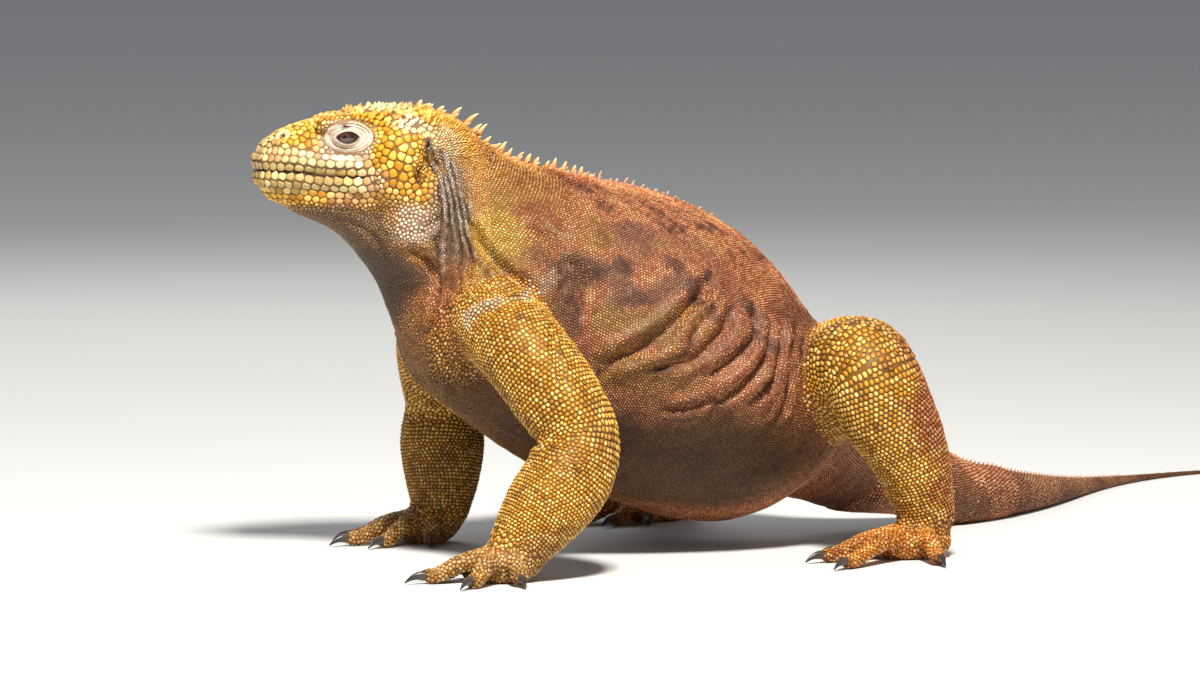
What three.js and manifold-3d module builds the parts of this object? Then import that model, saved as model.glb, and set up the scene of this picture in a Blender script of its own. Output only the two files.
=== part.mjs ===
// A Galapagos land iguana, life size, standing on the floor with its chest raised and its head turned to its
// right. Millimetres, +Z up. The body points along -X, its left side is -Y, and the soles, the belly side of the
// tail and the floor meet at Z = 0. The flesh is an implicit surface: tubes and ellipsoids blended smoothly
// together, then turned into facets by surface nets and parted into head, neck, torso, tail and limbs.
import * as THREE from "three";
import { mergeVertices } from "three/addons/utils/BufferGeometryUtils.js";
import Module from "manifold-3d";

const wasm = await Module();
wasm.setup();

// Driving sizes of the animal
const EYE_RADIUS = 8.5;
const LID_THICKNESS = 1.9;
const GAP = 0.3; // between touching pieces
const SINK = 1.6; // how far a root is sunk into the flesh it grows from
const SOLE_TRIM = 0.9; // how much of a round sole or tail is flattened by the floor

// Facet sizes of the flesh, and the facets of round things
const CELL = { torso: 18, neck: 10.5, head: 5.6, limb: 12.5, foot: 10, mouth: 9 };
const BALL_FACETS = { around: 14, rings: 8 };
const KNIFE_SIDES = 32;
const ROD_SIDES = { spine: 5, claw: 6, digit: 7, tail: 11 };

// How softly each piece of flesh grows out of the rest
const FILLET = {
  tail: 6, neck: 26, skull: 9, throat: 14, jowl: 5, pouch: 10, brow: 4, lip: 2, ear: 2, limb: 10, palm: 8,
};
const LIMB_UNDER_SKIN = 1.2; // how far a limb's root stays under the body's surface

// How far each cut reaches from its middle
const CUT_REACH = { head: 120, neck: 110, tail: 60, limb: 64, wrist: 50 };

// Colours
const GOLD = "#c8861f";
const HEAD_GOLD = "#d9a63a";
const RUST = "#9a5a38";
const ORANGE = "#c9781f";
const CLAW_GREY = "#3a3a3c";
const EYE_BROWN = "#4a3026";

const UP = new THREE.Vector3(0, 0, 1);
const BACKWARD = new THREE.Vector3(1, 0, 0);
const DOWNWARD = new THREE.Vector3(0.1, 0, -1);
const LEFT = -1;
const RIGHT = 1;
const SIDES = { left: LEFT, right: RIGHT };

const vec = (x, y, z) => new THREE.Vector3(x, y, z);
const degrees = THREE.MathUtils.degToRad;
const mix = THREE.MathUtils.lerp;

/** A seeded source of chance, so that every build is the same. */
function seeded(seed) {
  let state = seed;
  return () => {
    state = (state * 1664525 + 1013904223) % 4294967296;
    return state / 4294967296;
  };
}

// Implicit flesh: a field is a function of x, y and z that is negative inside

/** Distance to an ellipsoid-like shape from the offsets along its axes and its radii there. */
function roundDistance(offsets, radii, squareness) {
  let sum = 0;
  let far = 0;
  for (let i = 0; i < 3; i++) {
    sum += Math.abs(offsets[i] / radii[i]) ** squareness;
    far += offsets[i] * offsets[i];
  }
  const k = sum ** (1 / squareness);
  if (k < 1e-5) return -Math.min(...radii);
  return Math.sqrt(far) * (1 - 1 / k);
}

/** An ellipsoid at a point, with radii along the axes of a basis given as three unit vectors. */
function ellipsoid(centre, radii, axes = [vec(1, 0, 0), vec(0, 1, 0), vec(0, 0, 1)]) {
  return (x, y, z) => {
    const dx = x - centre.x;
    const dy = y - centre.y;
    const dz = z - centre.z;
    const offsets = axes.map((a) => dx * a.x + dy * a.y + dz * a.z);
    return roundDistance(offsets, radii, 2);
  };
}

/** The smooth line and sizes through stations [x, y, z, wide, up, down], sampled at steps per station. */
function sampled(stations, steps) {
  const curve = (points) => new THREE.CatmullRomCurve3(points, false, "catmullrom", 0.5);
  const line = curve(stations.map((s) => vec(s[0], s[1], s[2])));
  const size = curve(stations.map((s) => vec(s[3], s[4] ?? s[3], s[5] ?? s[4] ?? s[3])));
  const count = (stations.length - 1) * steps;
  return Array.from({ length: count + 1 }, (_, i) => ({
    at: line.getPoint(i / count),
    along: line.getTangent(i / count).normalize(),
    size: size.getPoint(i / count),
  }));
}

/** A round-ended tube of flesh with elliptical sections: wide to the sides, up and down along the hint. */
function tube(stations, { hint = UP, cap = 0.8, squareness = 2, steps = 4 } = {}) {
  const rings = sampled(stations, steps);
  const pieces = rings.slice(1).map((b, i) => {
    const a = rings[i];
    const along = vec().subVectors(b.at, a.at);
    const length = along.length();
    along.normalize();
    const side = vec().crossVectors(hint, along).normalize();
    const rise = vec().crossVectors(along, side);
    return { a, b, along, length, side, rise };
  });
  return (x, y, z) => {
    let best = Infinity;
    for (const { a, b, along, length, side, rise } of pieces) {
      const dx = x - a.at.x;
      const dy = y - a.at.y;
      const dz = z - a.at.z;
      const run = dx * along.x + dy * along.y + dz * along.z;
      const t = Math.min(Math.max(run / length, 0), 1);
      const over = run - t * length;
      const sideways = dx * side.x + dy * side.y + dz * side.z;
      const upwards = dx * rise.x + dy * rise.y + dz * rise.z;
      const wide = mix(a.size.x, b.size.x, t);
      const tall = upwards > 0 ? mix(a.size.y, b.size.y, t) : mix(a.size.z, b.size.z, t);
      const radii = [wide, tall, Math.min(wide, tall) * cap];
      const d = roundDistance([sideways, upwards, over], radii, squareness);
      if (d < best) best = d;
    }
    return best;
  };
}

/** Two distances joined with a fillet of size k. */
function blend(a, b, k) {
  const h = Math.max(k - Math.abs(a - b), 0) / k;
  return Math.min(a, b) - (h * h * k) / 4;
}

/** A field that blends several [field, fillet] pairs onto a first field. */
function blended(first, ...others) {
  return (x, y, z) => others.reduce((d, [field, k]) => blend(d, field(x, y, z), k), first(x, y, z));
}

/** A field with soft-edged hollows carved by other fields, as [field, fillet] pairs. */
function carved(first, ...hollows) {
  return (x, y, z) => hollows.reduce((d, [field, k]) => -blend(-d, field(x, y, z), k), first(x, y, z));
}

/** The point where a ray from inside a field leaves it. */
function surfaceFrom(field, from, direction, far = 160) {
  const step = 2;
  let near = 0;
  const at = (t) => from.clone().addScaledVector(direction, t);
  const value = (t) => {
    const p = at(t);
    return field(p.x, p.y, p.z);
  };
  while (near < far && value(near + step) < 0) near += step;
  let low = near;
  let high = near + step;
  for (let i = 0; i < 20; i++) {
    const middle = (low + high) / 2;
    if (value(middle) < 0) low = middle;
    else high = middle;
  }
  return at(low);
}

/** The outward direction of a field's surface at a point. */
function outward(field, p) {
  const e = 0.5;
  return vec(
    field(p.x + e, p.y, p.z) - field(p.x - e, p.y, p.z),
    field(p.x, p.y + e, p.z) - field(p.x, p.y - e, p.z),
    field(p.x, p.y, p.z + e) - field(p.x, p.y, p.z - e),
  ).normalize();
}

// Surface nets: one point per sheet of surface in each grid cell, joined by quads across crossed grid edges

const AXES = [0, 1, 2];
const CORNERS = [...Array(8).keys()];
const CELL_EDGES = AXES.flatMap((axis) =>
  CORNERS.filter((c) => !(c & (1 << axis))).map((c) => ({ low: c, high: c | (1 << axis) })),
);
const isBetween = (e, a, b) => e.low === Math.min(a, b) && e.high === Math.max(a, b);
const edgeBetween = (a, b) => CELL_EDGES.findIndex((e) => isBetween(e, a, b));
const CELL_FACES = AXES.flatMap((axis) =>
  [0, 1].map((far) => {
    const [u, v] = [1 << ((axis + 1) % 3), 1 << ((axis + 2) % 3)];
    const base = far << axis;
    const corners = [base, base | u, base | u | v, base | v];
    return { corners, edges: corners.map((c, i) => edgeBetween(c, corners[(i + 1) % 4])) };
  }),
);

/** Groups the crossed edges of one cell by the sheet of surface that they belong to. */
function sheetsOf(inside) {
  const crossed = CELL_EDGES.map((e) => inside[e.low] !== inside[e.high]);
  const group = CELL_EDGES.map((_, i) => i);
  const root = (i) => (group[i] === i ? i : root(group[i]));
  for (const { corners, edges } of CELL_FACES) {
    const cut = edges.filter((e) => crossed[e]);
    if (cut.length === 2) group[root(cut[0])] = root(cut[1]);
    if (cut.length === 4)
      corners.forEach((c, i) => {
        if (inside[c]) group[root(edges[i])] = root(edges[(i + 3) % 4]);
      });
  }
  return CELL_EDGES.map((_, i) => (crossed[i] ? root(i) : -1));
}

/** The closed faceted solid of a field inside a box, with facets of about one cell, pushed out by growth. */
function netOf(field, low, high, cell, growth = 0) {
  const count = AXES.map((i) => Math.ceil((high.getComponent(i) - low.getComponent(i)) / cell) + 1);
  const stride = [1, count[0], count[0] * count[1]];
  const values = new Float64Array(count[0] * count[1] * count[2]);
  const index = (i, j, k) => i + j * stride[1] + k * stride[2];
  const corner = (i, j, k) => [low.x + i * cell, low.y + j * cell, low.z + k * cell];
  for (let k = 0; k < count[2]; k++)
    for (let j = 0; j < count[1]; j++)
      for (let i = 0; i < count[0]; i++) {
        const border = [i, j, k].some((n, a) => n === 0 || n === count[a] - 1);
        const value = field(...corner(i, j, k));
        values[index(i, j, k)] = border ? Math.max(value, cell / 2) : value || 1e-9;
      }

  const points = [];
  const pointOf = new Map(); // cell index * 12 + edge, to the point of that edge's sheet
  for (let k = 0; k < count[2] - 1; k++)
    for (let j = 0; j < count[1] - 1; j++)
      for (let i = 0; i < count[0] - 1; i++) {
        const spots = CORNERS.map((c) => [i + (c & 1), j + ((c >> 1) & 1), k + ((c >> 2) & 1)]);
        const corners = spots.map((s) => values[index(...s)]);
        const inside = corners.map((v) => v < 0);
        if (inside.every(Boolean) || !inside.some(Boolean)) continue;
        const sheets = sheetsOf(inside);
        for (const sheet of new Set(sheets.filter((s) => s >= 0))) {
          const sum = vec();
          let n = 0;
          sheets.forEach((s, e) => {
            if (s !== sheet) return;
            const { low: a, high: b } = CELL_EDGES[e];
            const t = corners[a] / (corners[a] - corners[b]);
            sum.add(vec(...corner(...spots[a])).lerp(vec(...corner(...spots[b])), t));
            n++;
            pointOf.set(index(i, j, k) * 12 + e, points.length);
          });
          const point = ontoSurface(field, sum.divideScalar(n), cell);
          points.push(growth ? point.addScaledVector(outward(field, point), growth) : point);
        }
      }

  const triangles = [];
  for (let k = 0; k < count[2] - 1; k++)
    for (let j = 0; j < count[1] - 1; j++)
      for (let i = 0; i < count[0] - 1; i++) {
        const here = values[index(i, j, k)] < 0;
        for (const axis of AXES) {
          if (here === values[index(i, j, k) + stride[axis]] < 0) continue;
          const [u, v] = [(axis + 1) % 3, (axis + 2) % 3];
          const around = [[0, 0], [1, 0], [1, 1], [0, 1]].map(([du, dv]) => {
            const c = (du << u) | (dv << v);
            const edge = edgeBetween(c, c | (1 << axis));
            return pointOf.get((index(i, j, k) - du * stride[u] - dv * stride[v]) * 12 + edge);
          });
          if (!here) around.reverse();
          const [a, b, c, d] = around;
          const short = points[a].distanceTo(points[c]) < points[b].distanceTo(points[d]);
          triangles.push(...(short ? [a, b, c, a, c, d] : [a, b, d, b, c, d]));
        }
      }
  return solidOf(new Float32Array(points.flatMap((p) => [p.x, p.y, p.z])), new Uint32Array(triangles));
}

/** Moves a net's point onto the field's surface, by at most half a cell. */
function ontoSurface(field, point, cell) {
  const moved = point.clone();
  for (let i = 0; i < 2; i++) {
    const off = field(moved.x, moved.y, moved.z);
    moved.addScaledVector(outward(field, moved), -off);
  }
  return moved.distanceTo(point) < cell / 2 ? moved : point;
}

// Solids

/** A manifold solid from bare positions and triangles. */
function solidOf(vertProperties, triVerts) {
  return new wasm.Manifold(new wasm.Mesh({ numProp: 3, vertProperties, triVerts }));
}

/** A manifold solid from a closed three.js geometry. */
function solidFrom(geometry) {
  const bare = geometry.clone();
  bare.deleteAttribute("normal");
  bare.deleteAttribute("uv");
  const merged = mergeVertices(bare, 1e-4);
  return solidOf(merged.attributes.position.array, new Uint32Array(merged.index.array));
}

/** The turned matrix that stands a geometry's +Y along a direction, at a point. */
function standing(at, direction) {
  const turn = new THREE.Quaternion().setFromUnitVectors(vec(0, 1, 0), direction.clone().normalize());
  return new THREE.Matrix4().compose(at, turn, vec(1, 1, 1));
}

/** A thin round knife, square to a direction at a point. */
function knife(at, direction, radius) {
  const disc = new THREE.CylinderGeometry(radius, radius, GAP, KNIFE_SIDES);
  return solidFrom(disc.applyMatrix4(standing(at, direction)));
}

/** A rod bent along rings of {at, along, size}, with flat ends, or a point where the last size is tiny. */
function bentRod(rings, sides, hint = UP) {
  const rod = new THREE.CylinderGeometry(1, 1, 1, sides, rings.length - 1);
  rod.deleteAttribute("normal");
  rod.deleteAttribute("uv");
  const bent = mergeVertices(rod, 1e-5);
  const place = bent.attributes.position;
  for (let i = 0; i < place.count; i++) {
    const ring = rings[Math.round((place.getY(i) + 0.5) * (rings.length - 1))];
    const side = vec().crossVectors(hint, ring.along).normalize();
    const rise = vec().crossVectors(ring.along, side);
    const tall = place.getX(i) > 0 ? ring.size.y : ring.size.z;
    const p = ring.at.clone().addScaledVector(side, place.getZ(i) * ring.size.x);
    p.addScaledVector(rise, place.getX(i) * tall);
    place.setXYZ(i, p.x, p.y, p.z);
  }
  return solidFrom(bent);
}

/** The piece of a solid that holds a point. */
function pieceAt(solid, point) {
  const probe = solidFrom(new THREE.OctahedronGeometry(1).translate(point.x, point.y, point.z));
  const found = solid.decompose().find((piece) => !piece.intersect(probe).isEmpty());
  if (!found) throw new Error(`no flesh at ${point.toArray()}`);
  return found;
}

/** The largest piece of a solid. */
function largest(solid) {
  return solid.decompose().reduce((a, b) => (b.volume() > a.volume() ? b : a));
}

/** What lies above the floor. */
function aboveFloor(solid) {
  const floor = new THREE.BoxGeometry(2000, 2000, 100).translate(0, 0, -50);
  return solid.subtract(solidFrom(floor));
}

// Trunk and tail: stations of [x, y, z, half width, up, down]

const TRUNK = [
  [10, 0, 138, 48, 57, 50],
  [48, 0, 133, 66, 80, 66],
  [95, 0, 121, 84, 88, 79],
  [142, 0, 107, 94, 84.5, 84],
  [184, 0, 96, 86, 57.5, 84],
  [216, 0, 82, 62, 41, 62],
  [246, 1, 62, 40, 33, 40],
];
const TAIL_ROOT = [278, 4, 42];
const TAIL_ROOT_RADIUS = 28;
const TAIL_LENGTH = 520;
const TAIL_STATIONS = 12;
const TAIL_SWAY = { start: -6, bend: 46, back: -30 }; // degrees off the body line along the tail
const TAIL_TAPER = { tip: 1.6, power: 2.4, thinning: 0.12, tallness: 1.06 };
const TAIL_FALL = { share: 0.17, slope: 32 }; // where along its length it reaches the floor, and how steeply

/** The tail's half width at a share of its length. */
const tailRadius = (t) =>
  mix(TAIL_ROOT_RADIUS, TAIL_TAPER.tip, 1 - (1 - t) ** TAIL_TAPER.power * (1 - TAIL_TAPER.thinning * t));

/** Stations of the tail, which comes down to the floor and sways over it. */
function tailStations() {
  const stations = [];
  const at = vec(...TAIL_ROOT);
  const step = TAIL_LENGTH / TAIL_STATIONS;
  for (let i = 0; i <= TAIL_STATIONS; i++) {
    const t = i / TAIL_STATIONS;
    const wide = tailRadius(t);
    const tall = wide * TAIL_TAPER.tallness;
    const lying = tall - SOLE_TRIM;
    const z = mix(at.z, lying, THREE.MathUtils.smoothstep(t, 0, TAIL_FALL.share));
    stations.push([at.x, at.y, Math.max(z, lying), wide, tall, tall]);
    const { start, bend, back } = TAIL_SWAY;
    const heading = degrees(start + bend * Math.sin(Math.PI * t) + back * t * t);
    const level = Math.cos(degrees(TAIL_FALL.slope * Math.max(1 - t * 5, 0)));
    at.x += step * Math.cos(heading) * level;
    at.y += step * Math.sin(heading) * level;
  }
  return stations;
}
const TAIL = tailStations();

// Head: its own frame runs back from the snout tip, to the left side and up

const SNOUT_TIP = vec(-98, 51.8, 224);
const HEAD_TURN = degrees(27); // to its right, off the body line
const head = {
  back: vec(Math.cos(HEAD_TURN), -Math.sin(HEAD_TURN), 0),
  right: vec(Math.sin(HEAD_TURN), Math.cos(HEAD_TURN), 0),
  up: UP,
};
const headAxes = [head.back, head.right, head.up];

/** A point of the head's frame in the body's frame. */
const headPoint = (back, right, up) =>
  SNOUT_TIP.clone()
    .addScaledVector(head.back, back)
    .addScaledVector(head.right, right)
    .addScaledVector(head.up, up);

/** A head station from its place and sizes. */
const headStation = (back, up, ...sizes) => [...headPoint(back, 0, up).toArray(), ...sizes];

const SKULL = [
  headStation(14, -3, 18.5, 18, 18.5),
  headStation(26, -1, 22, 22.5, 25.5),
  headStation(42, 0, 24.5, 26, 28.5),
  headStation(60, 1, 28.5, 29, 29),
  headStation(80, 0, 32, 30.5, 29),
  headStation(97, -5, 34, 31.5, 35),
];
const NECK = [
  headStation(84, -6, 32, 33, 32),
  [-9, 7, 208, 36, 37, 35],
  [10, 2, 190, 42, 42, 40],
  [34, 0, 165, 50, 54, 50],
];
const THROAT = [
  headStation(34, -18, 14, 14, 9),
  headStation(57, -33, 19, 22, 11.5),
  headStation(78, -56, 17, 28, 13.5),
  headStation(91, -80, 11, 28, 13.5),
  headStation(104, -90, 8, 26, 12),
];
const JOWL = { back: 80, out: 27, up: 0, radii: [18, 11, 21] };
const THROAT_POUCH = { back: 88, out: 16, up: -40, radii: [20, 20, 20] };
const BROW = { back: 51, out: 18, up: 21.5, radii: [18, 6.5, 6] };
const EYE = { back: 50, out: 19.3, up: 15 };
const EYE_OPENING = { length: 15, height: 8.5 };
const EAR = { back: 94, out: 35, up: 3, radii: [5, 5, 10] };
const NOSTRIL = { back: 19, up: 13.5, rim: 3.2, bead: 1.5, sunk: 1, hole: 2.2, depth: 8 };
const NOSTRIL_TURN = { forward: 0.35, upward: 0.15 };
const LIP_LINE = [
  [-6, -3],
  [4, -3.5],
  [22, -4.3],
  [38, -6.6],
  [56, -7],
  [62, -6.3],
  [68, -5.5],
]; // back and up
const MOUTH_CORNER = 62;
const LIP = { radius: 4.4, offset: 4.8, sunk: 2.9, back: 64, bend: 0.8, turns: 16 };
const MOUTH = { width: 1.1, depth: 3, span: 120 };

/** The lip line's height at a distance back from the snout tip. */
function lipHeight(back) {
  const i = Math.max(1, LIP_LINE.findIndex((p) => p[0] > back));
  const [a, b] = [LIP_LINE[i - 1], LIP_LINE[i]];
  return mix(a[1], b[1], (back - a[0]) / (b[0] - a[0]));
}

/** A part of the head on one side, as an ellipsoid along the head's axes. */
function onHead({ back, out, up, radii }, side) {
  return ellipsoid(headPoint(back, out * side, up), radii, headAxes);
}

/** A lip that runs round the snout from corner to corner of the mouth, above or below the lip line. */
function lip(skull, above) {
  const stations = [];
  for (let i = 0; i <= LIP.turns; i++) {
    const turn = mix(-Math.PI / 2, Math.PI / 2, i / LIP.turns);
    const towards = head.back.clone().multiplyScalar(-Math.cos(turn));
    towards.addScaledVector(head.right, Math.sin(turn));
    const back = LIP.back * (1 - Math.cos(turn) ** LIP.bend);
    const from = headPoint(LIP.back, 0, lipHeight(back) + above);
    const p = surfaceFrom(skull, from, towards).addScaledVector(towards, -LIP.sunk);
    stations.push([p.x, p.y, p.z, LIP.radius]);
  }
  return tube(stations, { steps: 1 });
}

const skullTube = tube(SKULL, { squareness: 2.2, cap: 0.72 });
const axialField = blended(
  tube(TRUNK, { cap: 0.75 }),
  [tube([TRUNK.at(-1), ...TAIL.slice(0, 4)]), FILLET.tail],
  [tube(NECK), FILLET.neck],
  [skullTube, FILLET.skull],
  [tube(THROAT), FILLET.throat],
  ...Object.values(SIDES).flatMap((side) => [
    [onHead(JOWL, side), FILLET.jowl],
    [onHead(THROAT_POUCH, side), FILLET.pouch],
    [onHead(BROW, side), FILLET.brow],
  ]),
);
const headField = carved(
  blended(axialField, [lip(skullTube, LIP.offset), FILLET.lip], [lip(skullTube, -LIP.offset), FILLET.lip]),
  ...Object.values(SIDES).map((side) => [onHead(EAR, side), FILLET.ear]),
);

// Cuts across the body: a point and the direction that a person would cut square to

const HEAD_CUT = {
  at: headPoint(98, 0, -9),
  along: head.back.clone().multiplyScalar(0.916).addScaledVector(UP, -0.4),
};
const NECK_CUT = { at: vec(12, 0, 165), along: vec(0.8, 0, -0.6) };
const TAIL_CUT = { at: vec(...TAIL_ROOT), along: vec(0.85, 0.07, -0.52).normalize() };

// Spines

const SPINE = { flat: 0.6, sweep: 0.3, curl: 0.6, taper: 0.55, tip: 0.12 };
const SPINE_VARIETY = { height: [0.75, 1.15], radius: [0.85, 1.1], lean: [0.1, 0.45], sway: 0.3 };
const SPINE_CLEAR_OF_CUTS = 3.2;

/** A curved spine that grows from a surface, leaning back along a direction. */
function spine(field, foot, back, { height, radius, lean, curved }) {
  const normal = outward(field, foot);
  const up = normal.clone().addScaledVector(back, lean).normalize();
  const root = foot.clone().addScaledVector(normal, -SINK);
  const girth = (t) => (t === 1 ? SPINE.tip : 1 - SPINE.taper * t);
  const rings = (curved ? [0, 0.55, 1] : [0, 1]).map((t) => ({
    at: root
      .clone()
      .addScaledVector(up, (height + SINK) * t)
      .addScaledVector(back, height * SPINE.sweep * t * t),
    along: up.clone().addScaledVector(back, SPINE.curl * t).normalize(),
    size: vec(radius * SPINE.flat, radius, radius).multiplyScalar(girth(t)),
  }));
  return bentRod(rings, ROD_SIDES.spine, back);
}

/** The crest: how many spines each stretch of it has and how tall they are. */
const CREST = {
  nape: { count: 13, tall: 12, low: 6, radius: 2.6, curved: true },
  back: { count: 34, tall: 5.5, low: 3.4, radius: 2 },
  tail: { count: 7, tall: 3.2, low: 2.2, radius: 1.6 },
};
const CREST_SEED = { nape: 7, back: 11, tail: 31 };
const NAPE_SWELL = [0.15, 0.95]; // the part of a half wave that the nape's heights follow
const LOWEST_TAIL_WITH_SPINES = 6;

/** Feet of spines along the top of the body, between two stations of a smooth line inside it. */
function crestFeet(field, line, count) {
  const curve = new THREE.CatmullRomCurve3(line.map((p) => vec(...p)));
  return Array.from({ length: count }, (_, i) => {
    const t = i / (count - 1);
    const along = curve.getTangentAt(t);
    const side = vec().crossVectors(UP, along).normalize();
    const rise = vec().crossVectors(along, side).normalize();
    return { foot: surfaceFrom(field, curve.getPointAt(t), rise), back: along, share: t };
  });
}

/** The spines of one stretch of the crest, with seeded variety. */
function crest(field, line, { count, tall, low, radius, curved = false }, seed, swell) {
  const chance = seeded(seed);
  const { sway, lean } = SPINE_VARIETY;
  return crestFeet(field, line, count).map(({ foot, back, share }) => {
    const height = mix(low, tall, swell(share)) * mix(...SPINE_VARIETY.height, chance());
    const aside = vec().crossVectors(UP, back).multiplyScalar((chance() - 0.5) * sway);
    const thick = radius * mix(...SPINE_VARIETY.radius, chance());
    const form = { height, radius: thick, lean: mix(...lean, chance()), curved };
    return { foot, solid: spine(field, foot, back.clone().add(aside).normalize(), form) };
  });
}

const NAPE_LINE = [
  headPoint(92, 0, 0).toArray(),
  headPoint(106, 0, -14).toArray(),
  [10, 2, 200],
  [34, 0, 180],
  [48, 0, 165],
];
const BACK_LINE = [
  [52, 0, 160],
  [95, 0, 150],
  [142, 0, 130],
  [184, 0, 110],
  [216, 0, 88],
  [246, 1, 66],
  [270, 3, 50],
];
const napeSwell = (t) => Math.sin(Math.PI * mix(...NAPE_SWELL, t));
const napeSpines = crest(headField, NAPE_LINE, CREST.nape, CREST_SEED.nape, napeSwell);
const backSpines = crest(axialField, BACK_LINE, CREST.back, CREST_SEED.back, (t) => 1 - t);
const crestSpines = [...napeSpines, ...backSpines];

/** The spines whose feet stand on a solid's stretch of the body, between two cuts. */
function spinesBetween(from, to) {
  const past = (cut, p) => vec().subVectors(p, cut.at).dot(cut.along);
  return crestSpines
    .filter(({ foot }) => !from || past(from, foot) > SPINE_CLEAR_OF_CUTS)
    .filter(({ foot }) => !to || past(to, foot) < -SPINE_CLEAR_OF_CUTS)
    .map(({ solid }) => solid);
}

/** A solid with others joined onto it. */
const joined = (solid, others) => others.reduce((all, other) => all.add(other), solid);

// Nodes

const part = new THREE.Group();

const MATT = 0.7;
const WORN = 0.35;
const WET = 0.1;

/** Adds one named node from a solid. */
function addNode(name, solid, colour, roughness = MATT) {
  const mesh = solid.getMesh();
  const geometry = new THREE.BufferGeometry();
  const n = mesh.numProp;
  const positions = new Float32Array(mesh.numVert * 3);
  for (let i = 0; i < mesh.numVert; i++) {
    positions.set(mesh.vertProperties.subarray(i * n, i * n + 3), i * 3);
  }
  geometry.setAttribute("position", new THREE.BufferAttribute(positions, 3));
  geometry.setIndex(new THREE.BufferAttribute(mesh.triVerts, 1));
  geometry.computeVertexNormals();
  const material = new THREE.MeshStandardMaterial({ color: colour, roughness, metalness: 0 });
  const node = new THREE.Mesh(geometry, material);
  node.name = name;
  part.add(node);
}

// Boxes that hold each length of flesh, and a place inside each
const TORSO_BOX = [vec(-45, -112, 6), vec(310, 112, 245)];
const NECK_BOX = [vec(-90, -62, 80), vec(80, 85, 262)];
const HEAD_BOX = [vec(-118, -45, 140), vec(45, 105, 285)];
const MOUTH_BOX = [vec(-115, -40, 185), vec(-5, 100, 262)];
const IN_TORSO = vec(110, 0, 120);
const IN_NECK = vec(4, 3, 190);
const IN_HEAD = headPoint(50, 0, 0);

const HEAD_KNIFE = knife(HEAD_CUT.at, HEAD_CUT.along, CUT_REACH.head);
const NECK_KNIFE = knife(NECK_CUT.at, NECK_CUT.along, CUT_REACH.neck);
const TAIL_KNIFE = knife(TAIL_CUT.at, TAIL_CUT.along, CUT_REACH.tail);

/** Torso, from the foot of the neck to the root of the tail. */
function makeTorso() {
  const whole = netOf(axialField, ...TORSO_BOX, CELL.torso);
  const torso = pieceAt(whole.subtract(NECK_KNIFE).subtract(TAIL_KNIFE), IN_TORSO);
  return largest(joined(torso, spinesBetween(NECK_CUT, TAIL_CUT)));
}

/** Neck with its throat fold, between the head and the torso. */
function makeNeck() {
  const whole = netOf(axialField, ...NECK_BOX, CELL.neck);
  const neck = pieceAt(whole.subtract(HEAD_KNIFE).subtract(NECK_KNIFE), IN_NECK);
  return largest(joined(neck, spinesBetween(HEAD_CUT, NECK_CUT)));
}

/** The window between the lids: an almond cut outwards from the middle of the eye. */
function eyeWindow(centre, side) {
  const { length, height } = EYE_OPENING;
  const almond = new THREE.Shape()
    .moveTo(-length / 2, 0)
    .quadraticCurveTo(0, height, length / 2, 0)
    .quadraticCurveTo(0, -height, -length / 2, 0);
  const prism = new THREE.ExtrudeGeometry(almond, { depth: 30, bevelEnabled: false, curveSegments: 6 });
  const out = head.right.clone().multiplyScalar(side);
  const across = vec().crossVectors(UP, out);
  prism.applyMatrix4(new THREE.Matrix4().makeBasis(across, UP, out).setPosition(centre));
  return solidFrom(prism);
}

/** A faceted ball. */
function ball(centre, radius) {
  const { around, rings } = BALL_FACETS;
  return solidFrom(new THREE.SphereGeometry(radius, around, rings).translate(centre.x, centre.y, centre.z));
}

const eyeCentre = (side) => headPoint(EYE.back, EYE.out * side, EYE.up);

/** The thin groove between the lips, cut in from the surface all round the snout. */
function mouthGroove() {
  const line = LIP_LINE.filter(([back]) => back <= MOUTH_CORNER);
  const upper = line.map(([back, up]) => new THREE.Vector2(back, up + MOUTH.width / 2));
  const lower = line.map(([back, up]) => new THREE.Vector2(back, up - MOUTH.width / 2)).reverse();
  const outline = new THREE.Shape([...upper, ...lower]);
  const slot = new THREE.ExtrudeGeometry(outline, { depth: MOUTH.span, bevelEnabled: false });
  slot.translate(0, 0, -MOUTH.span / 2);
  const turn = new THREE.Matrix4().makeBasis(head.back, UP, head.right.clone().negate());
  slot.applyMatrix4(turn.setPosition(SNOUT_TIP));
  const shrunk = (x, y, z) => headField(x, y, z) + MOUTH.depth;
  return solidFrom(slot).subtract(netOf(shrunk, ...MOUTH_BOX, CELL.mouth));
}

/** Nostrils: a raised rim on each side of the snout with a hole in it. */
function nostrilParts(side) {
  const from = headPoint(NOSTRIL.back, 0, NOSTRIL.up);
  const out = head.right.clone().multiplyScalar(side);
  out.addScaledVector(head.back, -NOSTRIL_TURN.forward).addScaledVector(UP, NOSTRIL_TURN.upward).normalize();
  const opening = surfaceFrom(headField, from, out);
  const rim = new THREE.TorusGeometry(NOSTRIL.rim, NOSTRIL.bead, 5, 9);
  const turn = new THREE.Quaternion().setFromUnitVectors(vec(0, 0, 1), out);
  const seat = opening.clone().addScaledVector(out, -NOSTRIL.sunk);
  rim.applyMatrix4(new THREE.Matrix4().compose(seat, turn, vec(1, 1, 1)));
  const hole = new THREE.ConeGeometry(NOSTRIL.hole, NOSTRIL.depth, 8);
  hole.applyMatrix4(standing(opening, out.clone().negate()));
  return { rim: solidFrom(rim), hole: solidFrom(hole) };
}

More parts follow.
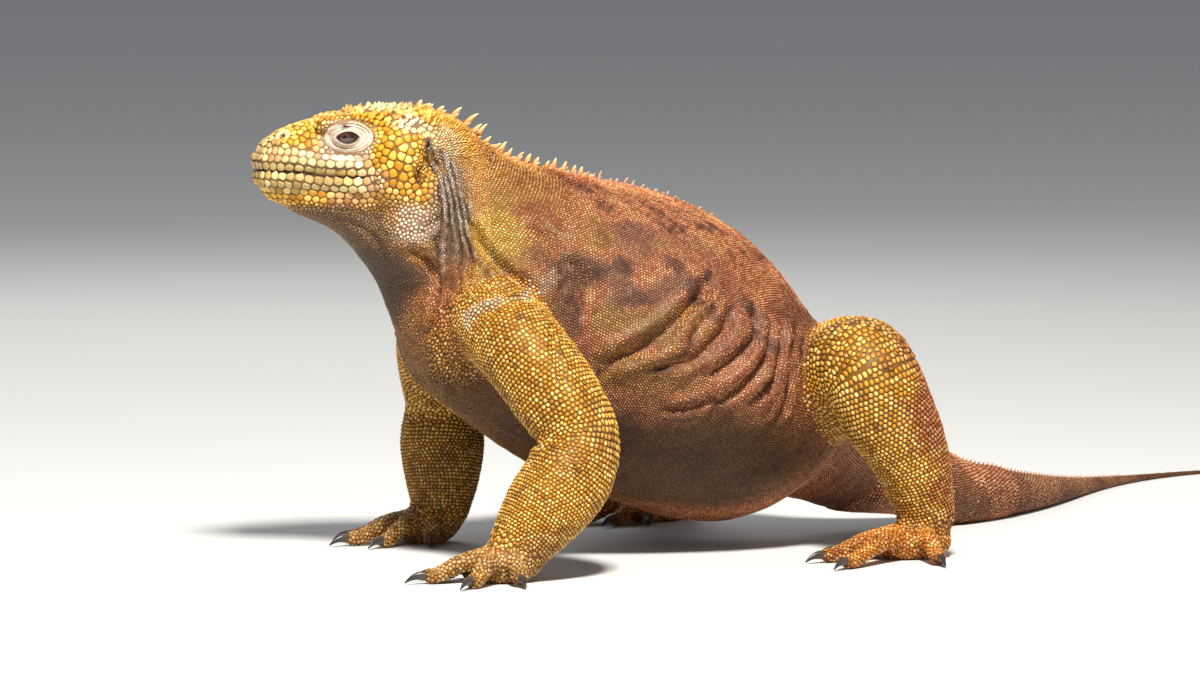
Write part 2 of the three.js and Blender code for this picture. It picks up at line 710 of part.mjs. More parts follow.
/** Head with lids, lips, nostrils and ear pits. */
function makeHead() {
  let solid = pieceAt(netOf(headField, ...HEAD_BOX, CELL.head).subtract(HEAD_KNIFE), IN_HEAD);
  for (const side of Object.values(SIDES)) {
    const centre = eyeCentre(side);
    const { rim, hole } = nostrilParts(side);
    solid = solid.add(ball(centre, EYE_RADIUS + LID_THICKNESS)).add(rim);
    solid = solid.subtract(ball(centre, EYE_RADIUS + GAP)).subtract(eyeWindow(centre, side)).subtract(hole);
  }
  solid = solid.subtract(mouthGroove());
  return largest(joined(solid, spinesBetween(null, HEAD_CUT)));
}

addNode("torso", makeTorso(), RUST);
addNode("neck", makeNeck(), HEAD_GOLD);
addNode("head", makeHead(), HEAD_GOLD);
for (const [name, side] of Object.entries(SIDES)) {
  addNode(`eye_${name}`, ball(eyeCentre(side), EYE_RADIUS), EYE_BROWN, WET);
}

// Tail, in lengths with a thin gap between them

const TAIL_PIECES = ["tail_root", "tail_fore", "tail_mid", "tail_rear", "tail_tip"];

/** One length of the tail, flattened where it lies on the floor. */
function makeTailLength(index) {
  const steps = 2;
  const rings = sampled(TAIL, steps);
  const share = (rings.length - 1) / TAIL_PIECES.length;
  const first = Math.round(index * share);
  const last = Math.round((index + 1) * share);
  const mine = rings.slice(first, last + 1).map((r) => ({ ...r, at: r.at.clone() }));
  mine[0].at.addScaledVector(mine[0].along, index === 0 ? GAP : GAP / 2);
  mine.at(-1).at.addScaledVector(mine.at(-1).along, -GAP / 2);
  if (index === 0) mine[0].along = TAIL_CUT.along.clone();
  const rod = bentRod(mine, ROD_SIDES.tail);
  const field = tube(TAIL, { steps });
  const line = mine.slice(1, -1).map((r) => r.at.toArray());
  const spines = crest(field, line, CREST.tail, CREST_SEED.tail + index, (t) => 1 - t);
  const grown = mine.at(-1).size.y > LOWEST_TAIL_WITH_SPINES ? spines.map(({ solid }) => solid) : [];
  return largest(aboveFloor(joined(rod, grown)));
}

TAIL_PIECES.forEach((name, i) => addNode(name, makeTailLength(i), RUST));

// Limbs: stations of [x, y, z, radius] from the body outwards, with the joints where they are parted

const ARMS = {
  left: {
    root: [[2, -40, 138, 25], [4, -66, 121, 25], [11, -87, 98, 24]],
    elbow: [17, -99, 77, 22],
    fore: [[9, -101, 57, 24.5], [-6, -99, 39, 23]],
    wrist: [-20, -96, 21, 17.5],
  },
  right: {
    root: [[22, 40, 132, 25], [38, 70, 117, 25], [52, 90, 98, 24]],
    elbow: [61, 101, 78, 22],
    fore: [[60, 101, 58, 24.5], [58, 98, 39, 22]],
    wrist: [56, 96, 21, 17],
  },
};
const LEGS = {
  left: {
    root: [[216, -28, 86, 37], [211, -66, 95, 33], [205, -94, 105, 30]],
    elbow: [202, -115, 107, 27],
    fore: [[209, -122, 86, 27], [223, -127, 58, 22.5]],
    wrist: [235, -128, 24, 16],
  },
  right: {
    root: [[216, 28, 86, 37], [203, 66, 96, 32], [188, 93, 104, 29.5]],
    elbow: [180, 113, 104, 27],
    fore: [[191, 118, 84, 27], [212, 120, 57, 22.5]],
    wrist: [233, 118, 24, 16],
  },
};

// Digits from the inner one outwards: turn off the body line (positive outwards) and length of flesh
const HANDS = {
  left: { turns: [-60, -36, -20, 26, 68], lengths: [28, 42, 48, 43, 30] },
  right: { turns: [-55, -17, 8, 33, 68], lengths: [29, 46, 54, 46, 31] },
};
const FEET = {
  left: { turns: [-46, -26, -7, 20, 68], lengths: [34, 48, 62, 76, 46] },
  right: { turns: [-40, -18, 2, 24, 66], lengths: [34, 48, 62, 76, 46] },
};
const DIGIT_RADIUS = { root: 7, knuckle: 5.4, tip: 4.1 };
// Places along a digit: share of its length, share of the named radius, height of its middle over the floor
const DIGIT_MARKS = [
  [0, "root", 1, 12.5],
  [0.35, "root", 0.9, 12.5],
  [0.6, "knuckle", 1, 10.5],
  [0.82, "knuckle", 0.92, 5.1],
  [1, "tip", 1, 4.1],
];
const CLAW = { length: 10.5, radius: 2.7, tip: 0.35, lift: 0.7, start: 0.6 };
const CLAW_FORM = { hook: 1.8, curl: 0.9, taper: 1.3, flat: 0.8 };
const SOLE = {
  hand: { heel: 6, ahead: 4, length: 18, half: 17, thick: 11.5, sunk: 2.5 },
  foot: { heel: 6, ahead: 4, length: 24, half: 17, thick: 11, sunk: 2.5 },
};
const WRIST_CUT_ABOVE = 4; // how far over the wrist's station the foot is parted from the limb
const LIMB_CAP = 0.9; // how round a limb's ends are
const LIMB_ROOM = 44;
const BELOW_FLOOR = -8;
const FOOT_ROOM = vec(100, 100, 60);
const IN_FOOT_HEIGHT = 9;

/** The direction over the floor at a turn off the body line, outwards on the given side. */
const floorDirection = (turn, side) => vec(-Math.cos(degrees(turn)), side * Math.sin(degrees(turn)), 0);

/** A digit's rings from inside the palm to its tip, arched over its knuckle. */
function digitRings(palm, direction, length) {
  const stations = DIGIT_MARKS.map(([t, name, share, height]) => {
    const radius = DIGIT_RADIUS[name] * share;
    const p = palm.clone().addScaledVector(direction, length * t);
    return [p.x, p.y, Math.max(height, radius - SOLE_TRIM), radius];
  });
  const rings = sampled(stations, 1);
  rings.at(-1).along = direction;
  return rings;
}

/** A claw that hooks down from a digit's tip. */
function makeClaw(tip, direction) {
  const rings = [0, 0.4, 0.75, 1].map((t) => ({
    at: tip.at
      .clone()
      .addScaledVector(direction, GAP + CLAW.length * t)
      .setZ(mix(tip.at.z + CLAW.start, CLAW.lift + CLAW.tip, t ** CLAW_FORM.hook)),
    along: direction.clone().addScaledVector(UP, -t * CLAW_FORM.curl).normalize(),
    size: vec(CLAW_FORM.flat, 1, 1).multiplyScalar(mix(CLAW.radius, CLAW.tip, t ** CLAW_FORM.taper)),
  }));
  rings[0].along = direction;
  return bentRod(rings, ROD_SIDES.claw);
}

const ELBOW_STATION = 3;

/** A limb's stations in one list. */
const limbStations = ({ root, elbow, fore, wrist }) => [...root, elbow, ...fore, wrist];

/** The box round a limb's stations, with room for its flesh. */
function limbBox(stations, room) {
  const box = new THREE.Box3().setFromPoints(stations.map((s) => vec(...s)));
  return box.expandByScalar(room);
}

/** The knife square to a limb at one of its stations. */
function limbKnife(stations, index, radius) {
  const at = vec(...stations[index]);
  const along = vec(...stations[index + 1]).sub(vec(...stations[index - 1])).normalize();
  return knife(at, along, radius);
}

/** Adds one limb: its upper and lower lengths, its foot with digits, and its claws. */
function addLimb(names, limb, digits, sole, side, name) {
  const stations = limbStations(limb);
  const wrist = vec(...limb.wrist);
  const ahead = floorDirection(digits.turns[2], side);
  const palmAt = wrist.clone().addScaledVector(ahead, sole.heel);
  const palm = ellipsoid(
    palmAt.clone().addScaledVector(ahead, sole.ahead).setZ(sole.thick - sole.sunk),
    [sole.length, sole.half, sole.thick],
    [ahead, vec().crossVectors(UP, ahead), UP],
  );
  const flesh = tube(stations, { hint: BACKWARD, cap: LIMB_CAP });
  const underSkin = (x, y, z) => axialField(x, y, z) + LIMB_UNDER_SKIN;
  const rooted = blended(underSkin, [flesh, FILLET.limb], [palm, FILLET.palm]);
  const box = limbBox(stations, LIMB_ROOM);
  box.min.z = BELOW_FLOOR;
  const whole = netOf(rooted, box.min, box.max, CELL.limb).subtract(trunkRoom);
  const upperCut = limbKnife(stations, ELBOW_STATION, CUT_REACH.limb);
  const lowerCut = knife(wrist.clone().setZ(wrist.z + WRIST_CUT_ABOVE), DOWNWARD, CUT_REACH.wrist);
  const parted = largest(whole).subtract(upperCut).subtract(lowerCut);
  addNode(`${names.upper}_${name}`, pieceAt(parted, vec(...limb.root.at(-1))), GOLD);
  addNode(`${names.lower}_${name}`, pieceAt(parted, vec(...limb.fore.at(-1))), GOLD);

  const footBox = new THREE.Box3().setFromCenterAndSize(palmAt.clone().setZ(20), FOOT_ROOM);
  const ankle = tube(stations.slice(ELBOW_STATION + 1), { hint: BACKWARD, cap: LIMB_CAP });
  const soled = blended(ankle, [palm, FILLET.palm]);
  let foot = netOf(soled, footBox.min, footBox.max, CELL.foot).subtract(lowerCut);
  foot = pieceAt(foot, palmAt.clone().setZ(IN_FOOT_HEIGHT));
  const tips = digits.turns.map((turn, i) => {
    const direction = floorDirection(turn, side);
    const rings = digitRings(palmAt, direction, digits.lengths[i]);
    foot = foot.add(bentRod(rings, ROD_SIDES.digit));
    return { tip: rings.at(-1), direction };
  });
  addNode(`${names.foot}_${name}`, largest(aboveFloor(foot)), ORANGE);
  tips.forEach(({ tip, direction }, i) => {
    addNode(`claw_${names.foot}_${name}_${i + 1}`, makeClaw(tip, direction), CLAW_GREY, WORN);
  });
}

/** The room that torso and neck take up, with the gap to the limbs round them. */
function makeTrunkRoom() {
  const overlap = 1;
  const { at, along } = NECK_CUT;
  const torso = netOf(axialField, ...TORSO_BOX, CELL.torso, GAP);
  const neck = netOf(axialField, ...NECK_BOX, CELL.neck, GAP);
  const level = at.dot(along);
  const neckSide = neck.trimByPlane(along.clone().negate().toArray(), -level - overlap);
  return torso.trimByPlane(along.toArray(), level - overlap).add(neckSide);
}

const trunkRoom = makeTrunkRoom();
const ARM_NAMES = { upper: "upper_arm", lower: "forearm", foot: "hand" };
const LEG_NAMES = { upper: "thigh", lower: "shank", foot: "foot" };
for (const [name, side] of Object.entries(SIDES)) {
  addLimb(ARM_NAMES, ARMS[name], HANDS[name], SOLE.hand, side, name);
  addLimb(LEG_NAMES, LEGS[name], FEET[name], SOLE.foot, side, name);
}

// The origin is under the middle of the animal, on the floor
const bounds = new THREE.Box3().setFromObject(part);
part.position.set(-(bounds.min.x + bounds.max.x) / 2, -(bounds.min.y + bounds.max.y) / 2, -bounds.min.z);

export default part;
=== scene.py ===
"""A life-size land iguana as a still display model: one skin with a coat of separate scales over it.

The sizes are in millimetres in the body's own frame: the body points along -X, its left side is -Y, and the floor
is Z = 0. Each finished mesh is moved to the shared frame, in metres, as it is made.
"""

import logging
import math
from dataclasses import dataclass, field
from enum import Enum
from typing import Callable, Optional, Sequence

import bmesh
import bpy
import numpy as np
from mathutils import Matrix, Vector
from mathutils.bvhtree import BVHTree
from mathutils.kdtree import KDTree


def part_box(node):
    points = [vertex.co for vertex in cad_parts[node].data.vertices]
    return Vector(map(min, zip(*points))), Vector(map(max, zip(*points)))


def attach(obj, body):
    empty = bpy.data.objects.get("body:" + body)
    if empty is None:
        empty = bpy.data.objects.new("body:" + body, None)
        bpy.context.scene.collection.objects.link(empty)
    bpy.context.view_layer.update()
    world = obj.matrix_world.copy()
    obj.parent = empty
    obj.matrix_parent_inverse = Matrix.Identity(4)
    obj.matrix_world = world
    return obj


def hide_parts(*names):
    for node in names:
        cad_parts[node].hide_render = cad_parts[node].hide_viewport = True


log = logging.getLogger("iguana")
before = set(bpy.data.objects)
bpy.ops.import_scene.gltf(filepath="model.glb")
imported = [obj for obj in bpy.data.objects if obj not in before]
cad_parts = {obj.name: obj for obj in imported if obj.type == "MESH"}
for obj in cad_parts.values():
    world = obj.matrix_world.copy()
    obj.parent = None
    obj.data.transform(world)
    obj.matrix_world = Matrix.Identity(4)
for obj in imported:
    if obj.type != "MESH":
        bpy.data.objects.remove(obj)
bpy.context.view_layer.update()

Array = np.ndarray


class Side(Enum):
    """The animal's two sides, as the sign of Y."""

    LEFT = -1
    RIGHT = 1


class Part(Enum):
    """The lengths of the body that the coat is laid on."""

    TRUNK = 0
    NECK = 1
    HEAD = 2
    THROAT = 3
    TAIL = 4
    ARM_LEFT = 5
    ARM_RIGHT = 6
    LEG_LEFT = 7
    LEG_RIGHT = 8
    HAND_LEFT = 9
    HAND_RIGHT = 10
    FOOT_LEFT = 11
    FOOT_RIGHT = 12


class Form(Enum):
    """The shapes that a scale may have."""

    BEAD = 0
    PLATE = 1
    KEEL = 2
    CONE = 3


# ---------------------------------------------------------------- small sums


def mix(a: float, b: float, t: float) -> float:
    """The value a share t of the way from a to b."""
    return a + (b - a) * t


def smooth(t: Array, low: float, high: float) -> Array:
    """A soft step from 0 at low to 1 at high."""
    s = np.clip((np.asarray(t, float) - low) / (high - low), 0.0, 1.0)
    return s * s * (3.0 - 2.0 * s)


def unit(v: Array) -> Array:
    """Vectors scaled to length one."""
    v = np.asarray(v, float)
    return v / np.maximum(np.linalg.norm(v, axis=-1, keepdims=True), 1e-9)


def linear(colour: str) -> tuple[float, float, float]:
    """A hex colour as linear light."""
    parts = [int(colour.lstrip("#")[i : i + 2], 16) / 255 for i in (0, 2, 4)]
    return tuple(c / 12.92 if c < 0.04045 else ((c + 0.055) / 1.055) ** 2.4 for c in parts)


def chances(seed: int) -> Callable[[], float]:
    """A seeded source of chance, the same as the frame's spines use.

    Args:
        seed: where the row of numbers starts.

    Returns:
        A function that gives the next number from 0 to 1.
    """
    state = [seed]

    def draw() -> float:
        """The next number."""
        state[0] = (state[0] * 1664525 + 1013904223) % 4294967296
        return state[0] / 4294967296

    return draw


def smooth_line(stations: Sequence[Sequence[float]], steps: int) -> Array:
    """A smooth line through stations, all of whose columns are carried along.

    Args:
        stations: rows of numbers, the first three a place.
        steps: how many points are made per station.

    Returns:
        The points' rows.
    """
    s = np.array(stations, float)
    p = np.vstack([2 * s[0] - s[1], s, 2 * s[-1] - s[-2]])
    rows = []
    for i in range(len(s) - 1):
        a, b, c, d = p[i : i + 4]
        m, n = (c - a) / 2, (d - b) / 2
        for w in np.arange(steps) / steps:
            rows.append(b + m * w + (3 * c - 3 * b - 2 * m - n) * w**2 + (2 * b - 2 * c + m + n) * w**3)
    rows.append(s[-1])
    return np.array(rows)


def lengths(rows: Array) -> Array:
    """How far along a line each of its points is."""
    return np.concatenate([[0], np.cumsum(np.linalg.norm(np.diff(rows, axis=0), axis=1))])


def read_line(at: Array, gone: Array, rows: Array) -> Array:
    """Every column of a line's rows, read off at distances along it."""
    return np.stack([np.interp(at, gone, rows[:, i]) for i in range(rows.shape[1])], -1)


def blend(a: Array, b: Array, k: float) -> Array:
    """Two distances joined with a fillet of size k."""
    h = np.maximum(k - np.abs(a - b), 0) / k
    return np.minimum(a, b) - h * h * k / 4


# ---------------------------------------------------------------- the body's form


@dataclass
class Tube:
    """A tube of flesh with elliptical sections along a smooth line.

    Attributes:
        stations: rows of x, y, z, half width, up and down.
        hint: the direction that the sections' height follows.
        cap: how round the ends are.
        squareness: 2 for an ellipse, more for fuller sections.
        steps: points of the line per station.
    """

    stations: Sequence[Sequence[float]]
    hint: tuple[float, float, float] = (0.0, 0.0, 1.0)
    cap: float = 0.8
    squareness: float = 2.0
    steps: int = 4
    line: Array = field(init=False)

    def __post_init__(self) -> None:
        """Works out the smooth line."""
        full = []
        for s in self.stations:
            wide, up = s[3], s[4] if len(s) > 4 else s[3]
            full.append([*s[:3], wide, up, s[5] if len(s) > 5 else up])
        self.line = smooth_line(full, self.steps)

    def distance(self, p: Array) -> Array:
        """How far points are from the tube's surface, below zero inside.

        Args:
            p: points, one a row.

        Returns:
            One distance a point, and a large number far from the tube.
        """
        room = self.line[:, 3:].max() + 34.0
        low, high = self.line[:, :3].min(0) - room, self.line[:, :3].max(0) + room
        near = np.all((p > low) & (p < high), axis=1)
        out = np.full(len(p), 90.0)
        q = p[near]
        best = np.full(len(q), 90.0)
        for a, b in zip(self.line[:-1], self.line[1:]):
            along = b[:3] - a[:3]
            length = np.linalg.norm(along)
            along = along / length
            side = unit(np.cross(self.hint, along))
            rise = np.cross(along, side)
            d = q - a[:3]
            run = d @ along
            t = np.clip(run / length, 0, 1)
            over, sideways, upwards = run - t * length, d @ side, d @ rise
            wide = a[3] + (b[3] - a[3]) * t
            tall = np.where(upwards > 0, a[4] + (b[4] - a[4]) * t, a[5] + (b[5] - a[5]) * t)
            end = np.minimum(wide, tall) * self.cap
            best = np.minimum(best, round_distance((sideways, upwards, over), (wide, tall, end), self.squareness))
        out[near] = best
        return out


def round_distance(offsets: Sequence[Array], radii: Sequence[Array], squareness: float) -> Array:
    """Distance to an ellipsoid-like shape from the offsets along its axes and its radii there.

    Args:
        offsets: distances along the axes.
        radii: the reach along the axes.
        squareness: 2 for an ellipsoid, more for fuller forms.

    Returns:
        One distance a point.
    """
    if squareness == 2.0:
        k = np.sqrt(sum((o / r) ** 2 for o, r in zip(offsets, radii)))
    else:
        k = sum(np.abs(o / r) ** squareness for o, r in zip(offsets, radii)) ** (1 / squareness)
    far = np.sqrt(sum(o * o for o in offsets))
    return np.where(k < 1e-5, -5.0, far * (1 - 1 / np.maximum(k, 1e-5)))


@dataclass
class Round:
    """An ellipsoid along three axes."""

    centre: Array
    radii: tuple[float, float, float]
    axes: Array

    def distance(self, p: Array) -> Array:
        """How far points are from its surface, below zero inside."""
        d = (p - self.centre) @ self.axes.T
        return round_distance((d[:, 0], d[:, 1], d[:, 2]), self.radii, 2.0)


@dataclass(frozen=True)
class HeadFrame:
    """The head's own frame: back from the snout tip, to the right, and up."""

    tip: tuple[float, float, float] = (-98.0, 51.8, 224.0)
    turn: float = 27.0

    @property
    def axes(self) -> Array:
        """Rows: back, right, up."""
        c, s = math.cos(math.radians(self.turn)), math.sin(math.radians(self.turn))
        return np.array([[c, -s, 0.0], [s, c, 0.0], [0.0, 0.0, 1.0]])

    def point(self, back: float, right: float, up: float) -> Array:
        """A place of the head's frame in the body's frame."""
        return np.array(self.tip) + np.array([back, right, up]) @ self.axes

    def local(self, p: Array) -> Array:
        """Places of the body's frame in the head's frame."""
        return (p - np.array(self.tip)) @ self.axes.T

    def station(self, back: float, up: float, *sizes: float) -> list[float]:
        """A station on the head's middle line."""
        return [*self.point(back, 0.0, up), *sizes]


HEAD = HeadFrame()
LIP_BACK = (-6, 4, 22, 38, 56, 68, 76)
LIP_UP = (-3, -3.5, -4.3, -6.6, -7, -5.5, -4.5)
LIP_ROWS = ((2.6, 5.8, 5.0), (7.2, 5.2, 4.4), (11.1, 4.4, 3.8), (-2.5, 5.4, 4.4), (-6.7, 5.2, 3.9),
            (-10.4, 5.0, 3.6), (-13.8, 4.4, 3.2))
EYE_BACK, EYE_OUT, EYE_UP, EYE_RADIUS = 50.0, 19.3, 15.0, 8.5
EAR_BACK, EAR_OUT, EAR_UP = 94.0, 35.0, 3.0
NOSTRIL_BACK, NOSTRIL_UP = 19.0, 13.5
MOUTH_CORNER = 59.0
LOOSE_HEIGHT, LID_SCALE_HEIGHT, LIP_SCALE_HEIGHT = 0.8, 0.36, 0.45
PIECE_TRIANGLES = 190000
SMALL_PITCH, LARGE_PITCH = 1.75, 2.6
PROFILES = {
    1: ((1.0, -0.15), (0.0, 1.0)),
    2: ((1.0, -0.3), (0.8, 0.62), (0.0, 1.0)),
    3: ((1.0, -0.35), (0.94, 0.5), (0.66, 0.9), (0.0, 1.0)),
}
NOSTRIL_PROFILE = ((1.6, -1.6), (1.75, -0.3), (2.1, 0.3), (2.9, 0.6), (3.8, 0.4), (4.5, -0.2), (4.9, -1.2))
NECK_FOLD_DEPTHS = (1.7, 2.6, 2.0, 2.4, 1.3)


def eye_at(side: Side) -> Array:
    """The middle of an eye."""
    return HEAD.point(EYE_BACK, EYE_OUT * side.value, EYE_UP)


def lip_height(back: Array) -> Array:
    """The height of the line of the mouth at a distance back from the snout tip."""
    return np.interp(back, LIP_BACK, LIP_UP)


@dataclass
class Digit:
    """One digit with its claw."""

    palm: Array
    direction: Array
    length: float
    root: float = 7.0
    knuckle: float = 5.4
    end: float = 4.1
    trim: float = 0.9

    def tube(self) -> Tube:
        """The digit's flesh, arched over its knuckle."""
        marks = (
            (0.0, self.root, 12.5),
            (0.35, self.root * 0.9, 12.5),
            (0.6, self.knuckle, 10.5),
            (0.82, self.knuckle * 0.92, self.knuckle - self.trim + 0.6),
            (1.0, self.end, self.end - self.trim + 0.9),
        )
        rows = []
        for t, radius, height in marks:
            x, y, _ = self.palm + self.direction * self.length * t
            rows.append([x, y, max(height, radius - self.trim), radius])
        return Tube(rows, steps=2, cap=0.85)


@dataclass
class Limb:
    """A limb from the body to its digits."""

    name: str
    side: Side
    stations: Sequence[Sequence[float]]
    turns: Sequence[float]
    lengths: Sequence[float]
    palm_length: float
    thick: float
    part: Part
    end_part: Part
    heel: float = 6.0
    half: float = 17.0

    def heading(self, turn: float) -> Array:
        """The direction over the floor at a turn off the body line, outwards."""
        a = math.radians(turn)
        return np.array([-math.cos(a), self.side.value * math.sin(a), 0.0])

    @property
    def palm_at(self) -> Array:
        """Where the digits start."""
        return np.array(self.stations[-1][:3]) + self.heading(self.turns[2]) * self.heel

    def flesh(self) -> Tube:
        """The limb above the palm."""
        return Tube(self.stations, hint=(1.0, 0.0, 0.0), cap=0.9)

    def palm(self) -> Round:
        """The palm or sole."""
        ahead = self.heading(self.turns[2])
        centre = self.palm_at + ahead * 4
        centre[2] = self.thick - 2.5
        across = np.cross([0, 0, 1], ahead)
        return Round(centre, (self.palm_length + 4, self.half, self.thick), np.array([ahead, across, [0, 0, 1]]))

    def digits(self) -> list[Digit]:
        """The five digits from the inner one outwards."""
        return [Digit(self.palm_at, self.heading(t), n) for t, n in zip(self.turns, self.lengths)]


LIMBS = (
    Limb(
        "hand_left", Side.LEFT,
        ((2, -40, 138, 25), (4, -66, 121, 25), (11, -87, 98, 24), (17, -99, 77, 22), (9, -101, 57, 24.5),
         (-6, -99, 39, 23), (-20, -96, 21, 17.5)),
        (-60, -36, -20, 26, 68), (28, 42, 48, 43, 30), 14, 11.5, Part.ARM_LEFT, Part.HAND_LEFT,
    ),
    Limb(
        "hand_right", Side.RIGHT,
        ((22, 40, 132, 25), (38, 70, 117, 25), (52, 90, 98, 24), (61, 101, 78, 22), (60, 101, 58, 24.5),
         (58, 98, 39, 22), (56, 96, 21, 17)),
        (-55, -17, 8, 33, 68), (29, 46, 54, 46, 31), 14, 11.5, Part.ARM_RIGHT, Part.HAND_RIGHT,
    ),
    Limb(
        "foot_left", Side.LEFT,
        ((216, -28, 86, 37), (211, -66, 95, 33), (205, -94, 105, 30), (202, -115, 107, 27), (209, -122, 86, 27),
         (223, -127, 58, 22.5), (235, -128, 24, 16)),
        (-46, -26, -7, 20, 68), (34, 48, 62, 76, 46), 20, 11, Part.LEG_LEFT, Part.FOOT_LEFT,
    ),
    Limb(
        "foot_right", Side.RIGHT,
        ((216, 28, 86, 37), (203, 66, 96, 32), (188, 93, 104, 29.5), (180, 113, 104, 27), (191, 118, 84, 27),
         (212, 120, 57, 22.5), (233, 118, 24, 16)),
        (-40, -18, 2, 24, 66), (34, 48, 62, 76, 46), 20, 11, Part.LEG_RIGHT, Part.FOOT_RIGHT,
    ),
)


@dataclass
class Body:
    """The whole animal's form as distances, from the same stations as the frame's solids."""

    trunk: Sequence[Sequence[float]] = (
        (10, 0, 138, 48, 57, 50), (48, 0, 133, 66, 80, 66), (95, 0, 121, 84, 88, 79), (142, 0, 107, 94, 84.5, 84),
        (184, 0, 96, 86, 57.5, 84), (216, 0, 82, 62, 41, 62), (246, 1, 62, 40, 33, 40),
    )
    tail_root: tuple[float, float, float] = (278.0, 4.0, 42.0)
    tail_radius: float = 28.0
    tail_length: float = 520.0
    tail_stations: int = 12
    tail_sway: tuple[float, float, float] = (-6.0, 46.0, -30.0)

    def __post_init__(self) -> None:
        """Makes the tubes and rounds once."""
        h = HEAD
        self.tail_rows = self.tail_line()
        self.trunk_tube = Tube(self.trunk, cap=0.75)
        self.rump = Tube([self.trunk[-1], *self.tail_rows[:4]])
        self.tail = Tube(self.tail_rows, steps=2)
        self.skull = Tube(
            [h.station(14, -3, 18.5, 18, 18.5), h.station(26, -1, 22, 22.5, 25.5), h.station(42, 0, 24.5, 26, 28.5),
             h.station(60, 1, 28.5, 29, 29), h.station(80, 0, 32, 30.5, 29), h.station(97, -5, 34, 31.5, 35)],
            squareness=2.2, cap=0.72,
        )
        self.neck = Tube(
            [h.station(84, -6, 32, 33, 32), (-9, 7, 208, 36, 37, 35), (10, 2, 190, 42, 42, 40),
             (34, 0, 165, 50, 54, 50)]
        )
        self.throat = Tube(
            [h.station(34, -18, 14, 14, 9), h.station(57, -33, 19, 22, 11.5), h.station(78, -56, 17, 28, 13.5),
             h.station(91, -80, 11, 28, 13.5), h.station(104, -90, 8, 26, 12)]
        )
        self.head_rounds = []
        self.ears = []
        for side in Side:
            for back, out, up, radii, fillet in (
                (80, 27, 0, (18, 11, 21), 5), (88, 16, -40, (20, 20, 20), 10), (51, 18, 21.5, (18, 6.5, 6), 4),
            ):
                self.head_rounds.append((Round(h.point(back, out * side.value, up), radii, h.axes), fillet))
            self.ears.append(Round(h.point(EAR_BACK, EAR_OUT * side.value, EAR_UP), (5, 5, 10), h.axes))
        self.lips = [self.lip(4.8), self.lip(-4.8)]
        self.flesh = [limb.flesh() for limb in LIMBS]
        self.palms = [limb.palm() for limb in LIMBS]
        self.toes = [[d.tube() for d in limb.digits()] for limb in LIMBS]

    def tail_line(self) -> list[list[float]]:
        """Stations of the tail, which comes down to the floor and sways over it.

        Returns:
            The stations, from the root to the tip.
        """
        rows = []
        x, y, top = self.tail_root
        start, bend, back = self.tail_sway
        step = self.tail_length / self.tail_stations
        for i in range(self.tail_stations + 1):
            t = i / self.tail_stations
            wide = mix(self.tail_radius, 1.6, 1 - (1 - t) ** 2.4 * (1 - 0.12 * t))
            lying = wide * 1.06 - 0.9
            z = mix(top, lying, float(smooth(t, 0, 0.17)))
            rows.append([x, y, max(z, lying), wide, wide * 1.06, wide * 1.06])
            turn = math.radians(start + bend * math.sin(math.pi * t) + back * t * t)
            level = math.cos(math.radians(mix(32, 0, min(t * 5, 1))))
            x += step * math.cos(turn) * level
            y += step * math.sin(turn) * level
        return rows

    def lip(self, above: float) -> Tube:
        """A lip that runs round the snout, above or below the line of the mouth.

        Args:
            above: its height over the line of the mouth.

        Returns:
            The lip's tube.
        """
        rows = []
        for i in range(17):
            turn = mix(-math.pi / 2, math.pi / 2, i / 16)
            towards = np.array([-math.cos(turn), math.sin(turn), 0.0]) @ HEAD.axes
            back = 64 * (1 - max(math.cos(turn), 0.0) ** 0.8)
            start = HEAD.point(64, 0, float(lip_height(back)) + above)
            reach = np.arange(0, 120, 0.25)
            inside = self.skull.distance(start + reach[:, None] * towards) < 0
            edge = reach[np.argmin(inside)] if not inside.all() else 0.0
            rows.append([*(start + towards * (edge - 2.9)), 4.4])
        return Tube(rows, steps=1)

    def groups(self, p: Array) -> dict[Part, Array]:
        """The distance to each length of the body on its own."""
        out = {
            Part.TRUNK: np.minimum(self.trunk_tube.distance(p), self.rump.distance(p)),
            Part.NECK: self.neck.distance(p) + 1.0,
            Part.HEAD: self.skull.distance(p),
            Part.THROAT: self.throat.distance(p),
            Part.TAIL: self.tail.distance(p),
        }
        for i, limb in enumerate(LIMBS):
            out[limb.part] = self.flesh[i].distance(p)
            ends = [*self.toes[i], self.palms[i]]
            out[limb.end_part] = np.minimum.reduce([end.distance(p) for end in ends])
        return out

    def distance(self, p: Array) -> Array:
        """The distance to the whole body's surface, below zero inside.

        Args:
            p: points in the body's frame.

        Returns:
            One distance a point.
        """
        d = blend(self.trunk_tube.distance(p), self.rump.distance(p), 6)
        d = blend(d, self.neck.distance(p), 26)
        d = blend(d, self.skull.distance(p), 9)
        d = blend(d, self.throat.distance(p), 14)
        for shape, fillet in self.head_rounds:
            d = blend(d, shape.distance(p), fillet)
        for lip in self.lips:
            d = blend(d, lip.distance(p), 2)
        for ear in self.ears:
            d = -blend(-d, ear.distance(p), 2)
        whole = blend(d, self.tail.distance(p), 4)
        for i in range(len(LIMBS)):
            leg = blend(d + 1.2, self.flesh[i].distance(p), 10)
            leg = blend(leg, self.palms[i].distance(p), 8)
            for toe in self.toes[i]:
                leg = blend(leg, toe.distance(p), 3)
            whole = blend(whole, leg, 3)
        return whole

    def slope(self, p: Array, value: Array) -> Array:
        """The direction in which the distance grows."""
        e = 0.4
        return np.stack([(self.distance(p + e * np.eye(3)[i]) - value) / e for i in range(3)], 1)

    def shares(self, p: Array) -> Array:
        """How far each point belongs to each length of the body, one column a part."""
        groups = self.groups(p)
        d = np.stack([groups[k] for k in Part], 1)
        share = np.exp(-np.clip(d - d.min(1, keepdims=True), 0, 60) / 3.5)
        return share / share.sum(1, keepdims=True)


# ---------------------------------------------------------------- markings, the same on skin and coat


